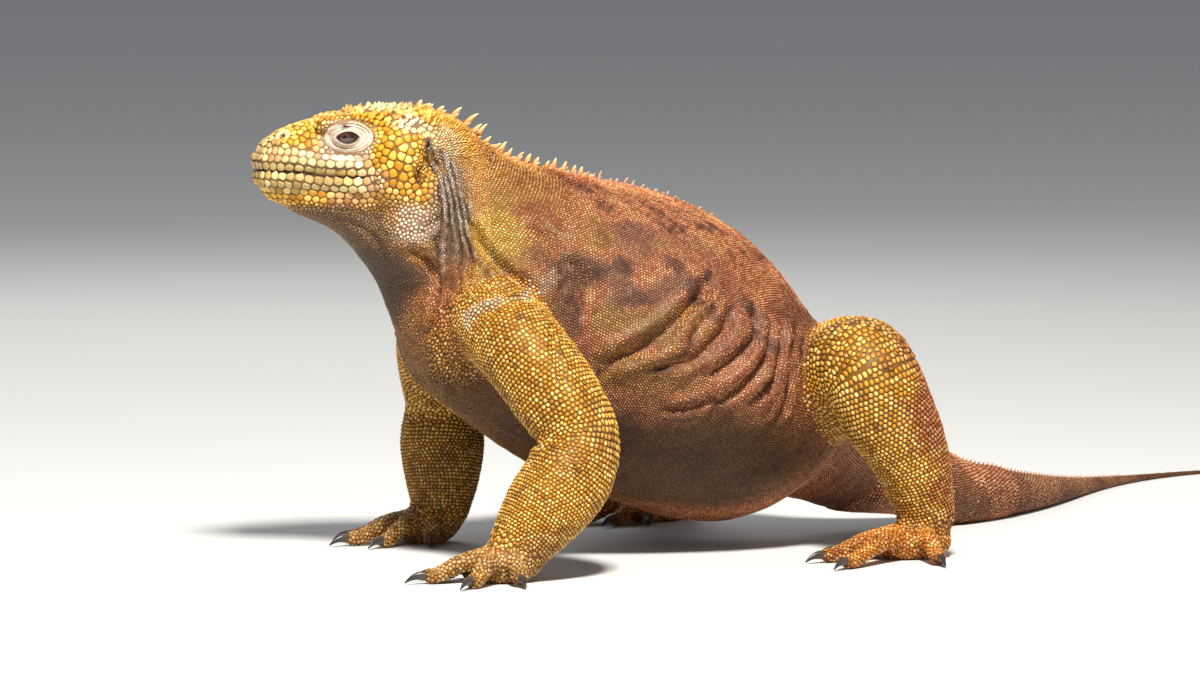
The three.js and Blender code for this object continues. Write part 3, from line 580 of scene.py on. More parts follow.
def wander(p: Array, reach: float) -> Array:
    """Points shifted by slow waves, so that patches of colour get ragged edges.

    Args:
        p: points in the body's frame.
        reach: how far the widest wave shifts them.

    Returns:
        The shifted points.
    """
    rng = np.random.default_rng(3)
    out = p.copy()
    for length, share in ((52.0, 1.0), (24.0, 0.6), (11.0, 0.38), (5.0, 0.24)):
        for _ in range(2):
            turns = rng.normal(size=(3, 3))
            turns /= np.linalg.norm(turns, axis=1, keepdims=True)
            out += reach * share * 0.7 * np.sin(p @ turns.T * (2 * math.pi / length) + rng.random(3) * 6.28)
    return out


def mottle(p: Array, length: float, seed: int) -> Array:
    """A slow random wave over the body, about -1 to 1.

    Args:
        p: points in the body's frame.
        length: the wave's length.
        seed: where its chances start.

    Returns:
        One value a point.
    """
    rng = np.random.default_rng(seed)
    out = np.zeros(len(p))
    for k in range(7):
        way = unit(rng.normal(size=3)) * np.array([1.0, 1.0, 0.8])
        out += np.sin(p @ way * (2 * math.pi / length) * (0.6 + 0.25 * k) + rng.random() * 6.28)
    return out / 3.2


@dataclass(frozen=True)
class Patch:
    """A soft-edged patch of colour.

    Attributes:
        centre: its middle, in the head's frame or the body's.
        radii: its reach along that frame's axes.
        colour: its colour in hex.
        strength: how far it covers what is under it.
        on_head: whether it is placed in the head's frame.
        both: whether the other side has it too.
        on_limb: whether it colours limbs fully.
    """

    centre: tuple[float, float, float]
    radii: tuple[float, float, float]
    colour: str
    strength: float = 1.0
    on_head: bool = False
    both: bool = True
    on_limb: bool = False

    def cover(self, p: Array, h: Array) -> Array:
        """How much of each point it covers."""
        q = h if self.on_head else p
        d = q - np.array(self.centre)
        if self.both:
            d[:, 1] = np.abs(q[:, 1]) - abs(self.centre[1])
        r = np.sqrt(((d / np.array(self.radii)) ** 2).sum(1))
        return self.strength * (1 - smooth(r, 0.55, 1.1))


def line_distance(line: Sequence[Sequence[float]], on_head: bool, p: Array, reach: float) -> tuple[Array, Array]:
    """How far points are from a smooth line, and how far along it, for points within reach of it.

    Args:
        line: places on the line.
        on_head: whether they are in the head's frame.
        p: points in the body's frame.
        reach: the farthest distance that matters.

    Returns:
        The distances, large where out of reach, and the shares of the line's length.
    """
    rows = smooth_line(line, 4)
    if on_head:
        rows = np.array([HEAD.point(*r) for r in rows])
    near = np.all((p > rows.min(0) - reach) & (p < rows.max(0) + reach), axis=1)
    q = p[near]
    best, share = np.full(len(q), 1e9), np.zeros(len(q))
    for i, (a, b) in enumerate(zip(rows[:-1], rows[1:])):
        d = b - a
        t = np.clip(((q - a) @ d) / (d @ d), 0, 1)
        r = np.linalg.norm(q - (a + t[:, None] * d), axis=1)
        closer = r < best
        best[closer] = r[closer]
        share[closer] = (i + t[closer]) / (len(rows) - 1)
    far, along = np.full(len(p), 1e9), np.zeros(len(p))
    far[near], along[near] = best, share
    return far, along


@dataclass(frozen=True)
class Streak:
    """A soft-edged line of colour, on both sides of the animal."""

    line: tuple[tuple[float, float, float], ...]
    width: float
    colour: str
    strength: float = 1.0
    on_head: bool = False
    on_limb: bool = True

    def cover(self, p: Array, h: Array) -> Array:
        """How much of each point it covers."""
        folded = p.copy()
        if self.on_head:
            left = np.stack([h[:, 0], -np.abs(h[:, 1]), h[:, 2]], 1)
            folded = np.array(HEAD.tip) + left @ HEAD.axes
        else:
            folded[:, 1] = -np.abs(folded[:, 1])
        far, _ = line_distance(self.line, self.on_head, folded, self.width * 2)
        return self.strength * (1 - smooth(far / self.width, 0.35, 1.2))


def between(a: Sequence[Sequence[float]], b: Sequence[Sequence[float]], t: float) -> tuple:
    """A line part of the way from one line to another, or past it.

    Args:
        a: the first line.
        b: the second.
        t: the share of the way from a to b.

    Returns:
        The line's places.
    """
    rows = []
    for line in (a, b):
        line = np.array(line, float)
        rows.append(read_line(np.linspace(0, len(line) - 1, 9), range(len(line)), line))
    return tuple(tuple(r) for r in rows[0] * (1 - t) + rows[1] * t)


FIRST_NECK_FOLD = ((93, -32, 14), (95, -31, 3), (100, -37, -9), (103, -37, -22), (103, -36, -36), (101, -34, -54),
                   (99, -31, -72), (98, -30, -89))
LAST_NECK_FOLD = ((104, -35, 6), (110, -36, -12), (112, -37, -26), (114, -38, -39), (115, -40, -53),
                  (113, -41, -66))
NECK_FOLDS = tuple(between(FIRST_NECK_FOLD, LAST_NECK_FOLD, t) for t in (0.0, 0.42, 0.84, 1.26, 1.66))
# the furrows between the neck's folds, along which shade is painted
NECK_FURROWS = tuple(between(FIRST_NECK_FOLD, LAST_NECK_FOLD, t) for t in (-0.21, 0.21, 0.63, 1.05, 1.46))
EAR_SLIT = ((93, -33, 15), (92, -32, 5), (89, -38, -3), (86, -38, -10))
SHOULDER_STREAK = ((-22, -48, 142), (-16, -55, 149), (-8, -61, 152), (6, -59, 155), (20, -58, 158))
FLANK_FOLDS = (
    ((122, -76, 162), (115, -81, 153), (104, -83, 145), (90, -83, 135), (77, -81, 125), (64, -76, 116),
     (50, -69, 108)),
    ((133, -84, 148), (125, -90, 133), (113, -90, 123), (100, -88, 115), (83, -82, 109)),
    ((144, -85, 146), (143, -91, 130), (133, -93, 118), (120, -92, 109), (106, -89, 101)),
    ((154, -88, 136), (149, -93, 121), (140, -95, 109), (127, -92, 97), (115, -88, 86)),
    ((164, -87, 133), (158, -93, 117), (150, -94, 102), (139, -92, 89)),
    ((106, -87, 131), (100, -87, 123), (89, -85, 115), (77, -81, 109)),
    ((114, -89, 92), (102, -84, 87), (88, -79, 88)),
)


@dataclass(frozen=True)
class Markings:
    """The animal's colours by place, with painted shade in some folds, furrows and slits and under the belly, and
    painted highlight on some ridges.
    """

    base: tuple[tuple[Part, str], ...] = (
        (Part.TRUNK, "#d88a5c"), (Part.NECK, "#d69c4a"), (Part.HEAD, "#e2aa2e"), (Part.THROAT, "#947250"),
        (Part.TAIL, "#93603c"), (Part.ARM_LEFT, "#d3992e"), (Part.ARM_RIGHT, "#d3992e"),
        (Part.LEG_LEFT, "#d0962e"), (Part.LEG_RIGHT, "#d0962e"), (Part.HAND_LEFT, "#bd8a42"),
        (Part.HAND_RIGHT, "#bd8a42"), (Part.FOOT_LEFT, "#cf7f28"), (Part.FOOT_RIGHT, "#cf7f28"),
    )
    patches: tuple[Patch | Streak, ...] = (
        # snout, lips and chin
        Patch((6, 6, 4), (22, 20, 16), "#c8ac78", 0.9, True),
        Patch((24, 8, 20), (15, 14, 8), "#e0ae3a", 0.85, True),
        Patch((36, 20, 3), (30, 18, 10), "#d6b284", 0.95, True),
        Patch((26, 18, -2), (40, 24, 7), "#c4ac70", 0.9, True),
        Patch((30, 20, -11), (44, 24, 6.5), "#c0a66c", 0.95, True),
        Patch((34, 22, -18), (26, 20, 4), "#dfa63c", 0.8, True),
        Patch((52, 22, -20), (18, 18, 6), "#b48458", 0.75, True),
        Patch((58, 22, -28), (30, 24, 7), "#7c5832", 0.8, True),
        Patch((62, 28, -8), (13, 14, 9), "#d8b58a", 0.8, True),
        # eye, crown and cheek
        Patch((50, 26, 14), (17, 13, 12), "#e6d0bc", 0.95, True),
        Patch((50, 26, 4), (16, 12, 6), "#e2c0a0", 0.8, True),
        Patch((31, 20, 13), (7, 9, 7), "#dc9a2c", 0.85, True),
        Patch((48, 8, 26), (20, 10, 8), "#dcb26c", 0.7, True),
        Patch((70, 24, -22), (20, 16, 8), "#d09a48", 0.7, True),
        Patch((84, 34, -34), (17, 18, 14), "#d0b89e", 0.95, True),
        Patch((72, 32, -30), (10, 12, 8), "#d89a48", 0.55, True),
        Patch((34, 8, -28), (30, 30, 8), "#8a6a42", 0.8, True),
        Patch((60, 10, -36), (30, 34, 13), "#8a6a46", 0.9, True),
        Patch((74, 6, -62), (26, 30, 30), "#5e4832", 0.9, True),
        Patch((92, 10, -92), (26, 26, 26), "#523c2a", 0.9, True),
        Patch((90, 16, -74), (10, 18, 22), "#84602c", 0.5, True),
        Patch((74, 0, 31), (24, 20, 9), "#dcbf88", 0.8, True),
        Patch((86, 28, 24), (12, 12, 8), "#e0d0b4", 0.8, True),
        # neck behind the ear
        Patch((106, 34, -30), (15, 16, 48), "#a08870", 0.85, True),
        Patch((101, 30, 14), (14, 14, 13), "#dcc596", 0.7, True),
        Patch((112, 0, 10), (22, 20, 20), "#cc9048", 0.75, True),
        Patch((92, 36, -74), (10, 16, 22), "#d2c2a8", 0.7, True),
        # pale ridges of the neck's folds, partly the neck's own white and partly painted highlight on their tops,
        # with painted shade in the furrows between them
        *(Streak(line, 1.9, "#eadccc", 0.85, True) for line in NECK_FOLDS),
        *(Streak(line, 1.5, "#4e3c32", 0.85, True) for line in NECK_FURROWS),
        # painted shade in the slit of the ear
        Streak(EAR_SLIT, 1.9, "#241710", 0.95, True),
        # painted shade in the fold below the jowl
        Streak(((81, -35, -40), (89, -37, -42), (97, -35, -40), (100, -34, -50)), 2.0, "#6a5340", 0.6, True),
        # neck and shoulder
        Patch((3, 43, 186), (18, 20, 24), "#e8bc4c", 0.85),
        Patch((-10, 40, 162), (14, 14, 12), "#dcac48", 0.8),
        Patch((14, 0, 222), (26, 22, 18), "#ac6c3a", 0.8),
        Patch((28, 46, 196), (17, 14, 11), "#b8683c", 0.7),
        Patch((50, 0, 205), (44, 44, 24), "#984e30", 0.8),
        Patch((44, 63, 164), (24, 20, 15), "#5e463a", 0.7),
        Patch((29, 66, 141), (16, 22, 17), "#584238", 0.6),
        Patch((80, 76, 154), (34, 18, 9), "#604a3c", 0.6),
        Patch((86, 59, 183), (20, 16, 9), "#745044", 0.5),
        Patch((123, 64, 177), (18, 14, 9), "#745044", 0.4),
        Patch((61, 56, 184), (18, 14, 9), "#c8964c", 0.65),
        Patch((72, 80, 136), (32, 16, 12), "#b08a40", 0.7),
        Patch((107, 87, 134), (18, 12, 10), "#c0883c", 0.6),
        Patch((97, 87, 118), (16, 12, 9), "#c68238", 0.6),
        Patch((140, 70, 158), (30, 24, 16), "#bc7044", 0.6),
        Patch((176, 60, 120), (34, 40, 36), "#8c5238", 0.7),
        Patch((60, 84, 106), (38, 20, 20), "#ac7a2e", 0.8),
        # belly and chest: their own golden brown, darkened towards the underside as painted shade
        Patch((112, 60, 54), (110, 80, 40), "#644416", 0.95),
        Patch((30, 0, 72), (70, 70, 44), "#785018", 0.9),
        Patch((-24, 0, 116), (34, 50, 34), "#b07a28", 0.9),
        Patch((2, 30, 100), (36, 50, 34), "#9a6a22", 0.8),
        Streak(SHOULDER_STREAK, 5.6, "#dccab0", 0.62),
        # painted shade in the fold between neck and shoulder
        Streak(((-12, -34, 198), (-8, -38, 187), (-5, -42, 176), (2, -47, 167), (9, -53, 161)), 2.4,
               "#70573a", 0.55),
        Streak(((14, -46, 201), (26, -48, 198), (40, -56, 186)), 4.0, "#dcc08c", 0.6),
        # painted shade in the flank's folds, and an ochre painted highlight on the ridge beside each of the first
        # five
        Streak(FLANK_FOLDS[0], 2.8, "#32201a", 0.85),
        *(Streak(line, 2.2, "#3e281e", 0.7) for line in FLANK_FOLDS[1:]),
        *(Streak(tuple((x - 5, y + 2, z - 6) for x, y, z in line), 3.2, "#d89c50", 0.65)
          for line in FLANK_FOLDS[:5]),
        # back of thigh and shin
        Patch((226, 132, 84), (26, 26, 40), "#9c5030", 0.8, False, True, True),
        Patch((214, 126, 118), (22, 22, 14), "#b5763a", 0.6, False, True, True),
        Patch((238, 130, 40), (22, 24, 26), "#b0602c", 0.7, False, True, True),
        # backs of the hands
        Patch((-28, 100, 14), (46, 40, 13), "#b88a50", 0.5, False, True, True),
    )

    def tone(self, p: Array, shares: Array) -> Array:
        """The colour of points, as linear light.

        Args:
            p: places in the body's frame.
            shares: how far each belongs to each length of the body.

        Returns:
            One colour a point.
        """
        table = np.zeros((len(Part), 3))
        for part, colour in self.base:
            table[part.value] = linear(colour)
        out = shares @ table
        cloud, fleck = mottle(p, 26, 1), mottle(p, 9, 2)
        trunk = shares[:, Part.TRUNK.value] * smooth(p[:, 2], 60, 110)
        for colour, share in (("#5a3a2e", 0.75 * smooth(cloud + 0.5 * fleck, 0.2, 1.2)),
                              ("#e0a868", 0.6 * smooth(0.5 * fleck - cloud, 0.2, 1.2))):
            out = out + (np.array(linear(colour)) - out) * (share * trunk)[:, None]
        limbs = shares[:, Part.ARM_LEFT.value :].sum(1)
        for colour, share in (("#6e4420", 0.55 * smooth(fleck + 0.6 * cloud, 0.2, 1.4)),
                              ("#e0b866", 0.5 * smooth(-fleck, 0.2, 1.2))):
            out = out + (np.array(linear(colour)) - out) * (share * limbs)[:, None]
        h, q, bent = HEAD.local(wander(p, 1.3)), wander(p, 4.0), wander(p, 1.1)
        front = shares[:, [Part.HEAD.value, Part.NECK.value, Part.THROAT.value]].sum(1)
        for patch in self.patches:
            where = front if patch.on_head else 1 - shares[:, [Part.HEAD.value, Part.THROAT.value]].sum(1)
            where = where * (1 if patch.on_limb else 1 - 0.75 * limbs)
            narrow = isinstance(patch, Streak) and patch.width < 3
            c = (patch.cover(bent, HEAD.local(bent)) if narrow else patch.cover(q, h)) * where
            out = out + (np.array(linear(patch.colour)) - out) * c[:, None]
        return out


MARKINGS = Markings()


# ---------------------------------------------------------------- finishes


@dataclass
class Nodes:
    """Adds shader nodes to one tree and joins them."""

    tree: bpy.types.NodeTree

    def fill(self, node: bpy.types.Node, inputs: dict[str | int, object]) -> None:
        """Gives a node's inputs their values, or links them to other nodes' outputs."""
        for key, value in inputs.items():
            if isinstance(value, bpy.types.NodeSocket):
                self.tree.links.new(value, node.inputs[key])
            else:
                node.inputs[key].default_value = value

    def add(self, kind: str, inputs: Optional[dict[str | int, object]] = None,
            **settings: object) -> bpy.types.Node:
        """Adds one node.

        Args:
            kind: its type, without the words ShaderNode.
            inputs: values or other nodes' outputs, by the input's name or number.
            settings: the node's own settings.

        Returns:
            The node.
        """
        node = self.tree.nodes.new("ShaderNode" + kind)
        for key, value in settings.items():
            setattr(node, key, value)
        self.fill(node, inputs or {})
        return node

    def value(self, name: str, output: str = "Fac") -> bpy.types.NodeSocket:
        """A value that the mesh's points carry."""
        return self.add("Attribute", attribute_name=name).outputs[output]

    def noise(self, scale: float, detail: float = 2.0) -> bpy.types.NodeSocket:
        """Noise by the place on the piece."""
        place = self.add("TexCoord").outputs["Object"]
        return self.add("TexNoise", {"Scale": scale, "Detail": detail, "Vector": place}).outputs["Fac"]

    def ramp(self, source: bpy.types.NodeSocket, low: float, high: float, to_low: float,
             to_high: float) -> bpy.types.NodeSocket:
        """A value moved from one range to another."""
        ends = {"From Min": low, "From Max": high, "To Min": to_low, "To Max": to_high}
        return self.add("MapRange", {**ends, "Value": source}).outputs[0]

    def times(self, a: bpy.types.NodeSocket, b: bpy.types.NodeSocket) -> bpy.types.NodeSocket:
        """The product of two values."""
        return self.add("Math", {0: a, 1: b}, operation="MULTIPLY").outputs[0]

    def mix(self, share: object, a: object, b: object, way: str = "MIX") -> bpy.types.NodeSocket:
        """Two colours mixed."""
        inputs = {"Factor": share, "A": a, "B": b}
        return self.add("Mix", inputs, data_type="RGBA", blend_type=way).outputs["Result"]

    def colours(self, share: bpy.types.NodeSocket, stops: Sequence[tuple[float, str]]) -> bpy.types.NodeSocket:
        """A colour read off a row of stops, each a share and a hex colour."""
        ramp = self.add("ValToRGB", {"Fac": share})
        elements = ramp.color_ramp.elements
        for element, (at, colour) in zip(list(elements), (stops[0], stops[-1])):
            element.position, element.color = at, (*linear(colour), 1)
        for at, colour in stops[1:-1]:
            elements.new(at).color = (*linear(colour), 1)
        return ramp.outputs["Color"]

    def bump(self, height: bpy.types.NodeSocket, strength: float) -> bpy.types.NodeSocket:
        """The light's direction bent by a fine grain."""
        return self.add("Bump", {"Strength": strength, "Distance": 0.0003, "Height": height}).outputs["Normal"]


def new_material(name: str) -> tuple[bpy.types.Material, Nodes, bpy.types.Node]:
    """A new material, the maker of its nodes, and its shader."""
    material = bpy.data.materials.new(name)
    material.use_nodes = True
    return material, Nodes(material.node_tree), material.node_tree.nodes["Principled BSDF"]


def scale_colour_group() -> bpy.types.NodeTree:
    """The shader group that turns a scale's own tone into its blotched, grainy colour, darker towards the scale's
    foot: partly the darker skin between scales and partly painted shade in the crevices.

    Returns:
        A group with the inputs Tone, Chance, Rise, Gap, Blotch and Tint and the outputs Color, Roughness and Grain.
    """
    group = bpy.data.node_groups.new("scale_colour", "ShaderNodeTree")
    sockets = {
        "INPUT": {"Tone": "Color", "Chance": "Float", "Rise": "Float", "Gap": "Color", "Blotch": "Float",
                  "Tint": "Float"},
        "OUTPUT": {"Color": "Color", "Roughness": "Float", "Grain": "Float"},
    }
    for way, kinds in sockets.items():
        for name, kind in kinds.items():
            group.interface.new_socket(name=name, in_out=way, socket_type="NodeSocket" + kind)
    nodes = Nodes(group)
    given, out = group.nodes.new("NodeGroupInput"), group.nodes.new("NodeGroupOutput")
    tone, chance, rise, gap, blotch, tint = (given.outputs[name] for name in sockets["INPUT"])
    broad, fine = nodes.noise(38, 3), nodes.noise(900)
    bright = nodes.times(nodes.ramp(chance, 0, 1, 0.66, 1.32), nodes.ramp(fine, 0.3, 0.7, 0.85, 1.12))
    hue = nodes.add("HueSaturation", {
        "Color": tone, "Hue": nodes.ramp(chance, 0, 1, 0.488, 0.512),
        "Saturation": nodes.ramp(chance, 0, 1, 1.12, 0.88), "Value": bright,
    })
    clouds = nodes.times(nodes.ramp(broad, 0.42, 0.64, 0, 1), blotch)
    top = nodes.mix(clouds, hue.outputs["Color"], (0.38, 0.33, 0.32, 1), "MULTIPLY")
    # deep: the colour low on each scale and between scales, partly the darker skin there and partly painted shade in
    # the crevices
    deep = nodes.mix(tint, gap, nodes.mix(1.0, tone, (0.3, 0.21, 0.15, 1), "MULTIPLY"))
    nodes.fill(out, {
        "Color": nodes.mix(nodes.ramp(rise, 0.12, 0.6, 0, 1), deep, top),
        "Roughness": nodes.ramp(fine, 0.3, 0.7, 0.42, 0.62), "Grain": fine,
    })
    return group


@dataclass(frozen=True)
class ScaleFinish:
    """The finish of skin or of a coat of scales.

    Attributes:
        name: the material's name.
        slot: the part's material slot.
        gap: the colour between scales and low on each scale, partly the darker skin there and partly painted shade in
            the crevices.
        blotch: how dark the broad clouds are.
        tint: how far the gaps take the scales' own colour.
        grain: the bump's strength.
        specular: how much light it throws back.
    """

    name: str
    slot: str
    gap: str = "#3a2415"
    blotch: float = 0.35
    tint: float = 0.3
    grain: float = 0.25
    specular: float = 0.4

    def material(self, group: bpy.types.NodeTree) -> bpy.types.Material:
        """Builds the material round the shared colour group."""
        material, nodes, shader = new_material(self.name)
        worn_and_shaded = nodes.add("Group", {
            "Gap": (*linear(self.gap), 1), "Blotch": self.blotch, "Tint": self.tint,
            "Tone": nodes.value("tone", "Color"), "Chance": nodes.value("chance"), "Rise": nodes.value("rise"),
        }, node_tree=group).outputs
        # the group's colour is blotched and grainy, and darker towards each scale's foot as partly darker skin and
        # partly painted shade
        nodes.fill(shader, {
            "Base Color": worn_and_shaded["Color"], "Roughness": worn_and_shaded["Roughness"],
            "Normal": nodes.bump(worn_and_shaded["Grain"], self.grain), "Specular IOR Level": self.specular,
        })
        return material


@dataclass(frozen=True)
class HornFinish:
    """Claws and spines: horn that is lighter or darker towards the tip, with grain along it."""

    name: str
    root: str
    tip: str
    roughness: float = 0.38
    pale_from: float = 0.12
    pale_at: float = 0.75

    def material(self) -> bpy.types.Material:
        """Builds the material, which reads how far along the horn a point is."""
        material, nodes, shader = new_material(self.name)
        grain = nodes.noise(700)
        horn = nodes.colours(nodes.value("along"), ((self.pale_from, self.root), (self.pale_at, self.tip)))
        nodes.fill(shader, {
            "Base Color": nodes.mix(0.7, horn, nodes.ramp(grain, 0, 1, 0.45, 1.35), "MULTIPLY"),
            "Normal": nodes.bump(grain, 0.3), "Roughness": self.roughness,
        })
        return material


@dataclass(frozen=True)
class EyeFinish:
    """A wet dark-brown eye with a round pupil."""

    name: str = "wet_eye"
    stops: tuple[tuple[float, str], ...] = (
        (0.0, "#050404"), (0.085, "#080605"), (0.105, "#54302a"), (0.19, "#452720"), (0.235, "#2c1912"),
        (0.34, "#22140e"), (0.4, "#140d0a"), (0.62, "#1e1612"),
    )

    def material(self) -> bpy.types.Material:
        """Builds the material from the angle off the gaze that the ball carries."""
        material, nodes, shader = new_material(self.name)
        iris = nodes.colours(nodes.value("gaze"), self.stops)
        streaks = nodes.ramp(nodes.noise(900), 0, 1, 0.5, 1.4)
        nodes.fill(shader, {
            "Base Color": nodes.mix(0.6, iris, streaks, "MULTIPLY"), "Roughness": 0.06, "Coat Weight": 1.0,
            "Coat Roughness": 0.02,
        })
        return material


# ---------------------------------------------------------------- meshes


def frame_shift() -> Array:
    """The step from the body's frame to the shared frame, in millimetres."""
    low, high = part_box("eye_left")
    return (np.array(low) + np.array(high)) * 500.0 - eye_at(Side.LEFT)


SHIFT = frame_shift()


def to_world(p: Array) -> Array:
    """Places of the body's frame in the shared frame, in metres."""
    return (np.asarray(p, float) + SHIFT) / 1000.0


def linked(name: str, data: bpy.types.ID) -> bpy.types.Object:
    """An object of some data, linked to the scene."""
    obj = bpy.data.objects.new(name, data)
    bpy.context.scene.collection.objects.link(obj)
    return obj


def piece_from_arrays(name: str, points: Array, faces: Array, values: dict[str, Array],
                      uv: Array) -> bpy.types.Object:
    """Makes a piece from arrays of points and triangles.

    Args:
        name: the piece's name.
        points: places in the body's frame.
        faces: three point numbers a row.
        values: point values by name; three columns make a colour.
        uv: one place a point on the bake map.

    Returns:
        The linked object.
    """
    mesh = bpy.data.meshes.new(name)
    mesh.vertices.add(len(points))
    mesh.vertices.foreach_set("co", to_world(points).astype(np.float32).ravel())
    mesh.loops.add(faces.size)
    mesh.loops.foreach_set("vertex_index", faces.astype(np.int32).ravel())
    mesh.polygons.add(len(faces))
    mesh.polygons.foreach_set("loop_start", np.arange(0, faces.size, 3, dtype=np.int32))
    mesh.update(calc_edges=True)
    mesh.validate()
    mesh.shade_smooth()
    for key, value in values.items():
        give_values(mesh, key, value)
    layer = mesh.uv_layers.new(name="OFBake")
    layer.data.foreach_set("uv", uv[faces.ravel()].astype(np.float32).ravel())
    return linked(name, mesh)


def give_values(mesh: bpy.types.Mesh, key: str, value: Array) -> None:
    """Gives a mesh's points a named number or colour."""
    if value.ndim == 1:
        a = mesh.attributes.new(key, "FLOAT", "POINT")
        a.data.foreach_set("value", value.astype(np.float32))
    else:
        a = mesh.attributes.new(key, "FLOAT_COLOR", "POINT")
        a.data.foreach_set("color", np.column_stack([value, np.ones(len(value))]).astype(np.float32).ravel())


def piece_from_bmesh(name: str, bm: bmesh.types.BMesh) -> bpy.types.Object:
    """Makes a linked, smooth-shaded object of a bmesh whose points are in the body's frame."""
    mesh = bpy.data.meshes.new(name)
    for v in bm.verts:
        v.co = to_world(np.array(v.co))
    bm.to_mesh(mesh)
    bm.free()
    mesh.shade_smooth()
    return linked(name, mesh)


def stand(bm: bmesh.types.BMesh, at: Array, way: Array) -> None:
    """Turns a mesh made along Z to face a way, and moves it to a place."""
    turn = Vector((0, 0, 1)).rotation_difference(Vector(way)).to_matrix().to_4x4()
    bmesh.ops.transform(bm, matrix=Matrix.Translation(Vector(at)) @ turn, verts=bm.verts)


def place(obj: bpy.types.Object, slot: str, material: bpy.types.Material, nodes: Sequence[str] = ()) -> None:
    """Dresses a piece, lets it ride on the one body and hides the frame's nodes that it stands for."""
    obj.data.materials.clear()
    obj.data.materials.append(material)
    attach(obj, "root")
    if nodes:
        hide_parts(*nodes)
    log.info("%s: %d triangles", obj.name, sum(len(p.vertices) - 2 for p in obj.data.polygons))


# ---------------------------------------------------------------- the skin


@dataclass(frozen=True)
class Crease:
    """A fold of skin along a line: a furrow with a swell beside it."""

    line: tuple[tuple[float, float, float], ...]
    width: float
    depth: float
    swell: float = 0.6
    on_head: bool = False

    def lift(self, p: Array) -> Array:
        """How far the fold moves points outwards."""
        far, along = line_distance(self.line, self.on_head, p, self.width * 5)
        x = np.minimum(far / self.width, 9)
        ends = smooth(along, 0, 0.15) * (1 - smooth(along, 0.85, 1))
        return ends * (-self.depth * np.exp(-x * x) + self.depth * self.swell * np.exp(-((x - 2.0) ** 2)))


def both_sides(lines: Sequence[Crease]) -> list[Crease]:
    """The folds of the left side, and the same on the right with a little change.

    Args:
        lines: the left side's folds.

    Returns:
        The folds of both sides.
    """
    out = list(lines)
    for c in lines:
        mirrored = tuple((x + 2.0, -y, z - 1.5) for x, y, z in c.line)
        out.append(Crease(mirrored, c.width * 1.05, c.depth * 0.95, c.swell, c.on_head))
    return out


CREASES = both_sides(
    [
        # upright ridges behind the ear and down to the dewlap
        *(Crease(line, 1.45, -depth, 0.6, True) for line, depth in zip(NECK_FOLDS, NECK_FOLD_DEPTHS)),
        Crease(EAR_SLIT, 1.4, 3.2, 0.45, True),
        Crease(((79, -32, -49), (88, -34, -51), (95, -31, -57), (97, -29, -72), (95, -27, -89), (91, -18, -103)),
               2.6, 4.2, 0.45, True),
        Crease(((81, -35, -37), (89, -37, -39), (96, -36, -35), (100, -36, -27)), 2.2, 1.8, 0.6, True),
        Crease(((46, -17, -26), (62, -20, -38), (80, -22, -56)), 2.0, 1.0, 0.5, True),
        Crease(((62, -27, -16), (76, -36, -24), (92, -36, -28)), 1.6, 1.2, 0.6, True),
        # neck and shoulder
        Crease(((-12, -34, 198), (-8, -38, 187), (-5, -42, 176), (2, -47, 167), (9, -53, 161), (18, -60, 152)),
               2.6, 3.4, 0.5),
        Crease(SHOULDER_STREAK, 2.6, -2.0, 0.5),
        Crease(((16, -45, 192), (24, -51, 184), (30, -57, 173), (32, -61, 160), (24, -66, 144)), 2.4, 1.8, 0.6),
        Crease(((32, -59, 170), (43, -62, 167), (47, -65, 157), (45, -67, 146), (36, -68, 133)), 2.4, 2.0, 0.6),
        # flank, running down and forward from the groin
        Crease(FLANK_FOLDS[0], 3.6, 5.6, 0.6),
        *(Crease(line, 2.9, 4.2, 0.7) for line in FLANK_FOLDS[1:5]),
        *(Crease(line, 2.6, 3.2, 0.7) for line in FLANK_FOLDS[5:]),
        Crease(((177, -81, 134), (167, -91, 117), (164, -93, 100), (161, -91, 85), (155, -88, 74)), 2.6, 3.4, 0.6),
        Crease(((70, -60, 66), (104, -70, 50), (140, -72, 40), (172, -64, 38)), 3.0, 1.4, 0.5),
        Crease(((186, -88, 118), (192, -96, 100), (196, -96, 84)), 2.4, 2.6, 0.5),
        # crook and point of the arm
        Crease(((10, -79, 141), (4, -90, 128), (2, -100, 116), (6, -110, 102)), 2.0, 1.6, 0.5),
        Crease(((-8, -96, 72), (-2, -84, 76), (8, -78, 78)), 2.0, 1.8, 0.5),
        Crease(((-12, -92, 86), (-4, -78, 90), (6, -72, 92)), 2.0, 1.4, 0.5),
        Crease(((-25, -17, 130), (-22, -20, 122), (-17, -21, 109), (-9, -13, 95)), 2.4, 1.6, 0.5),
    ]
)


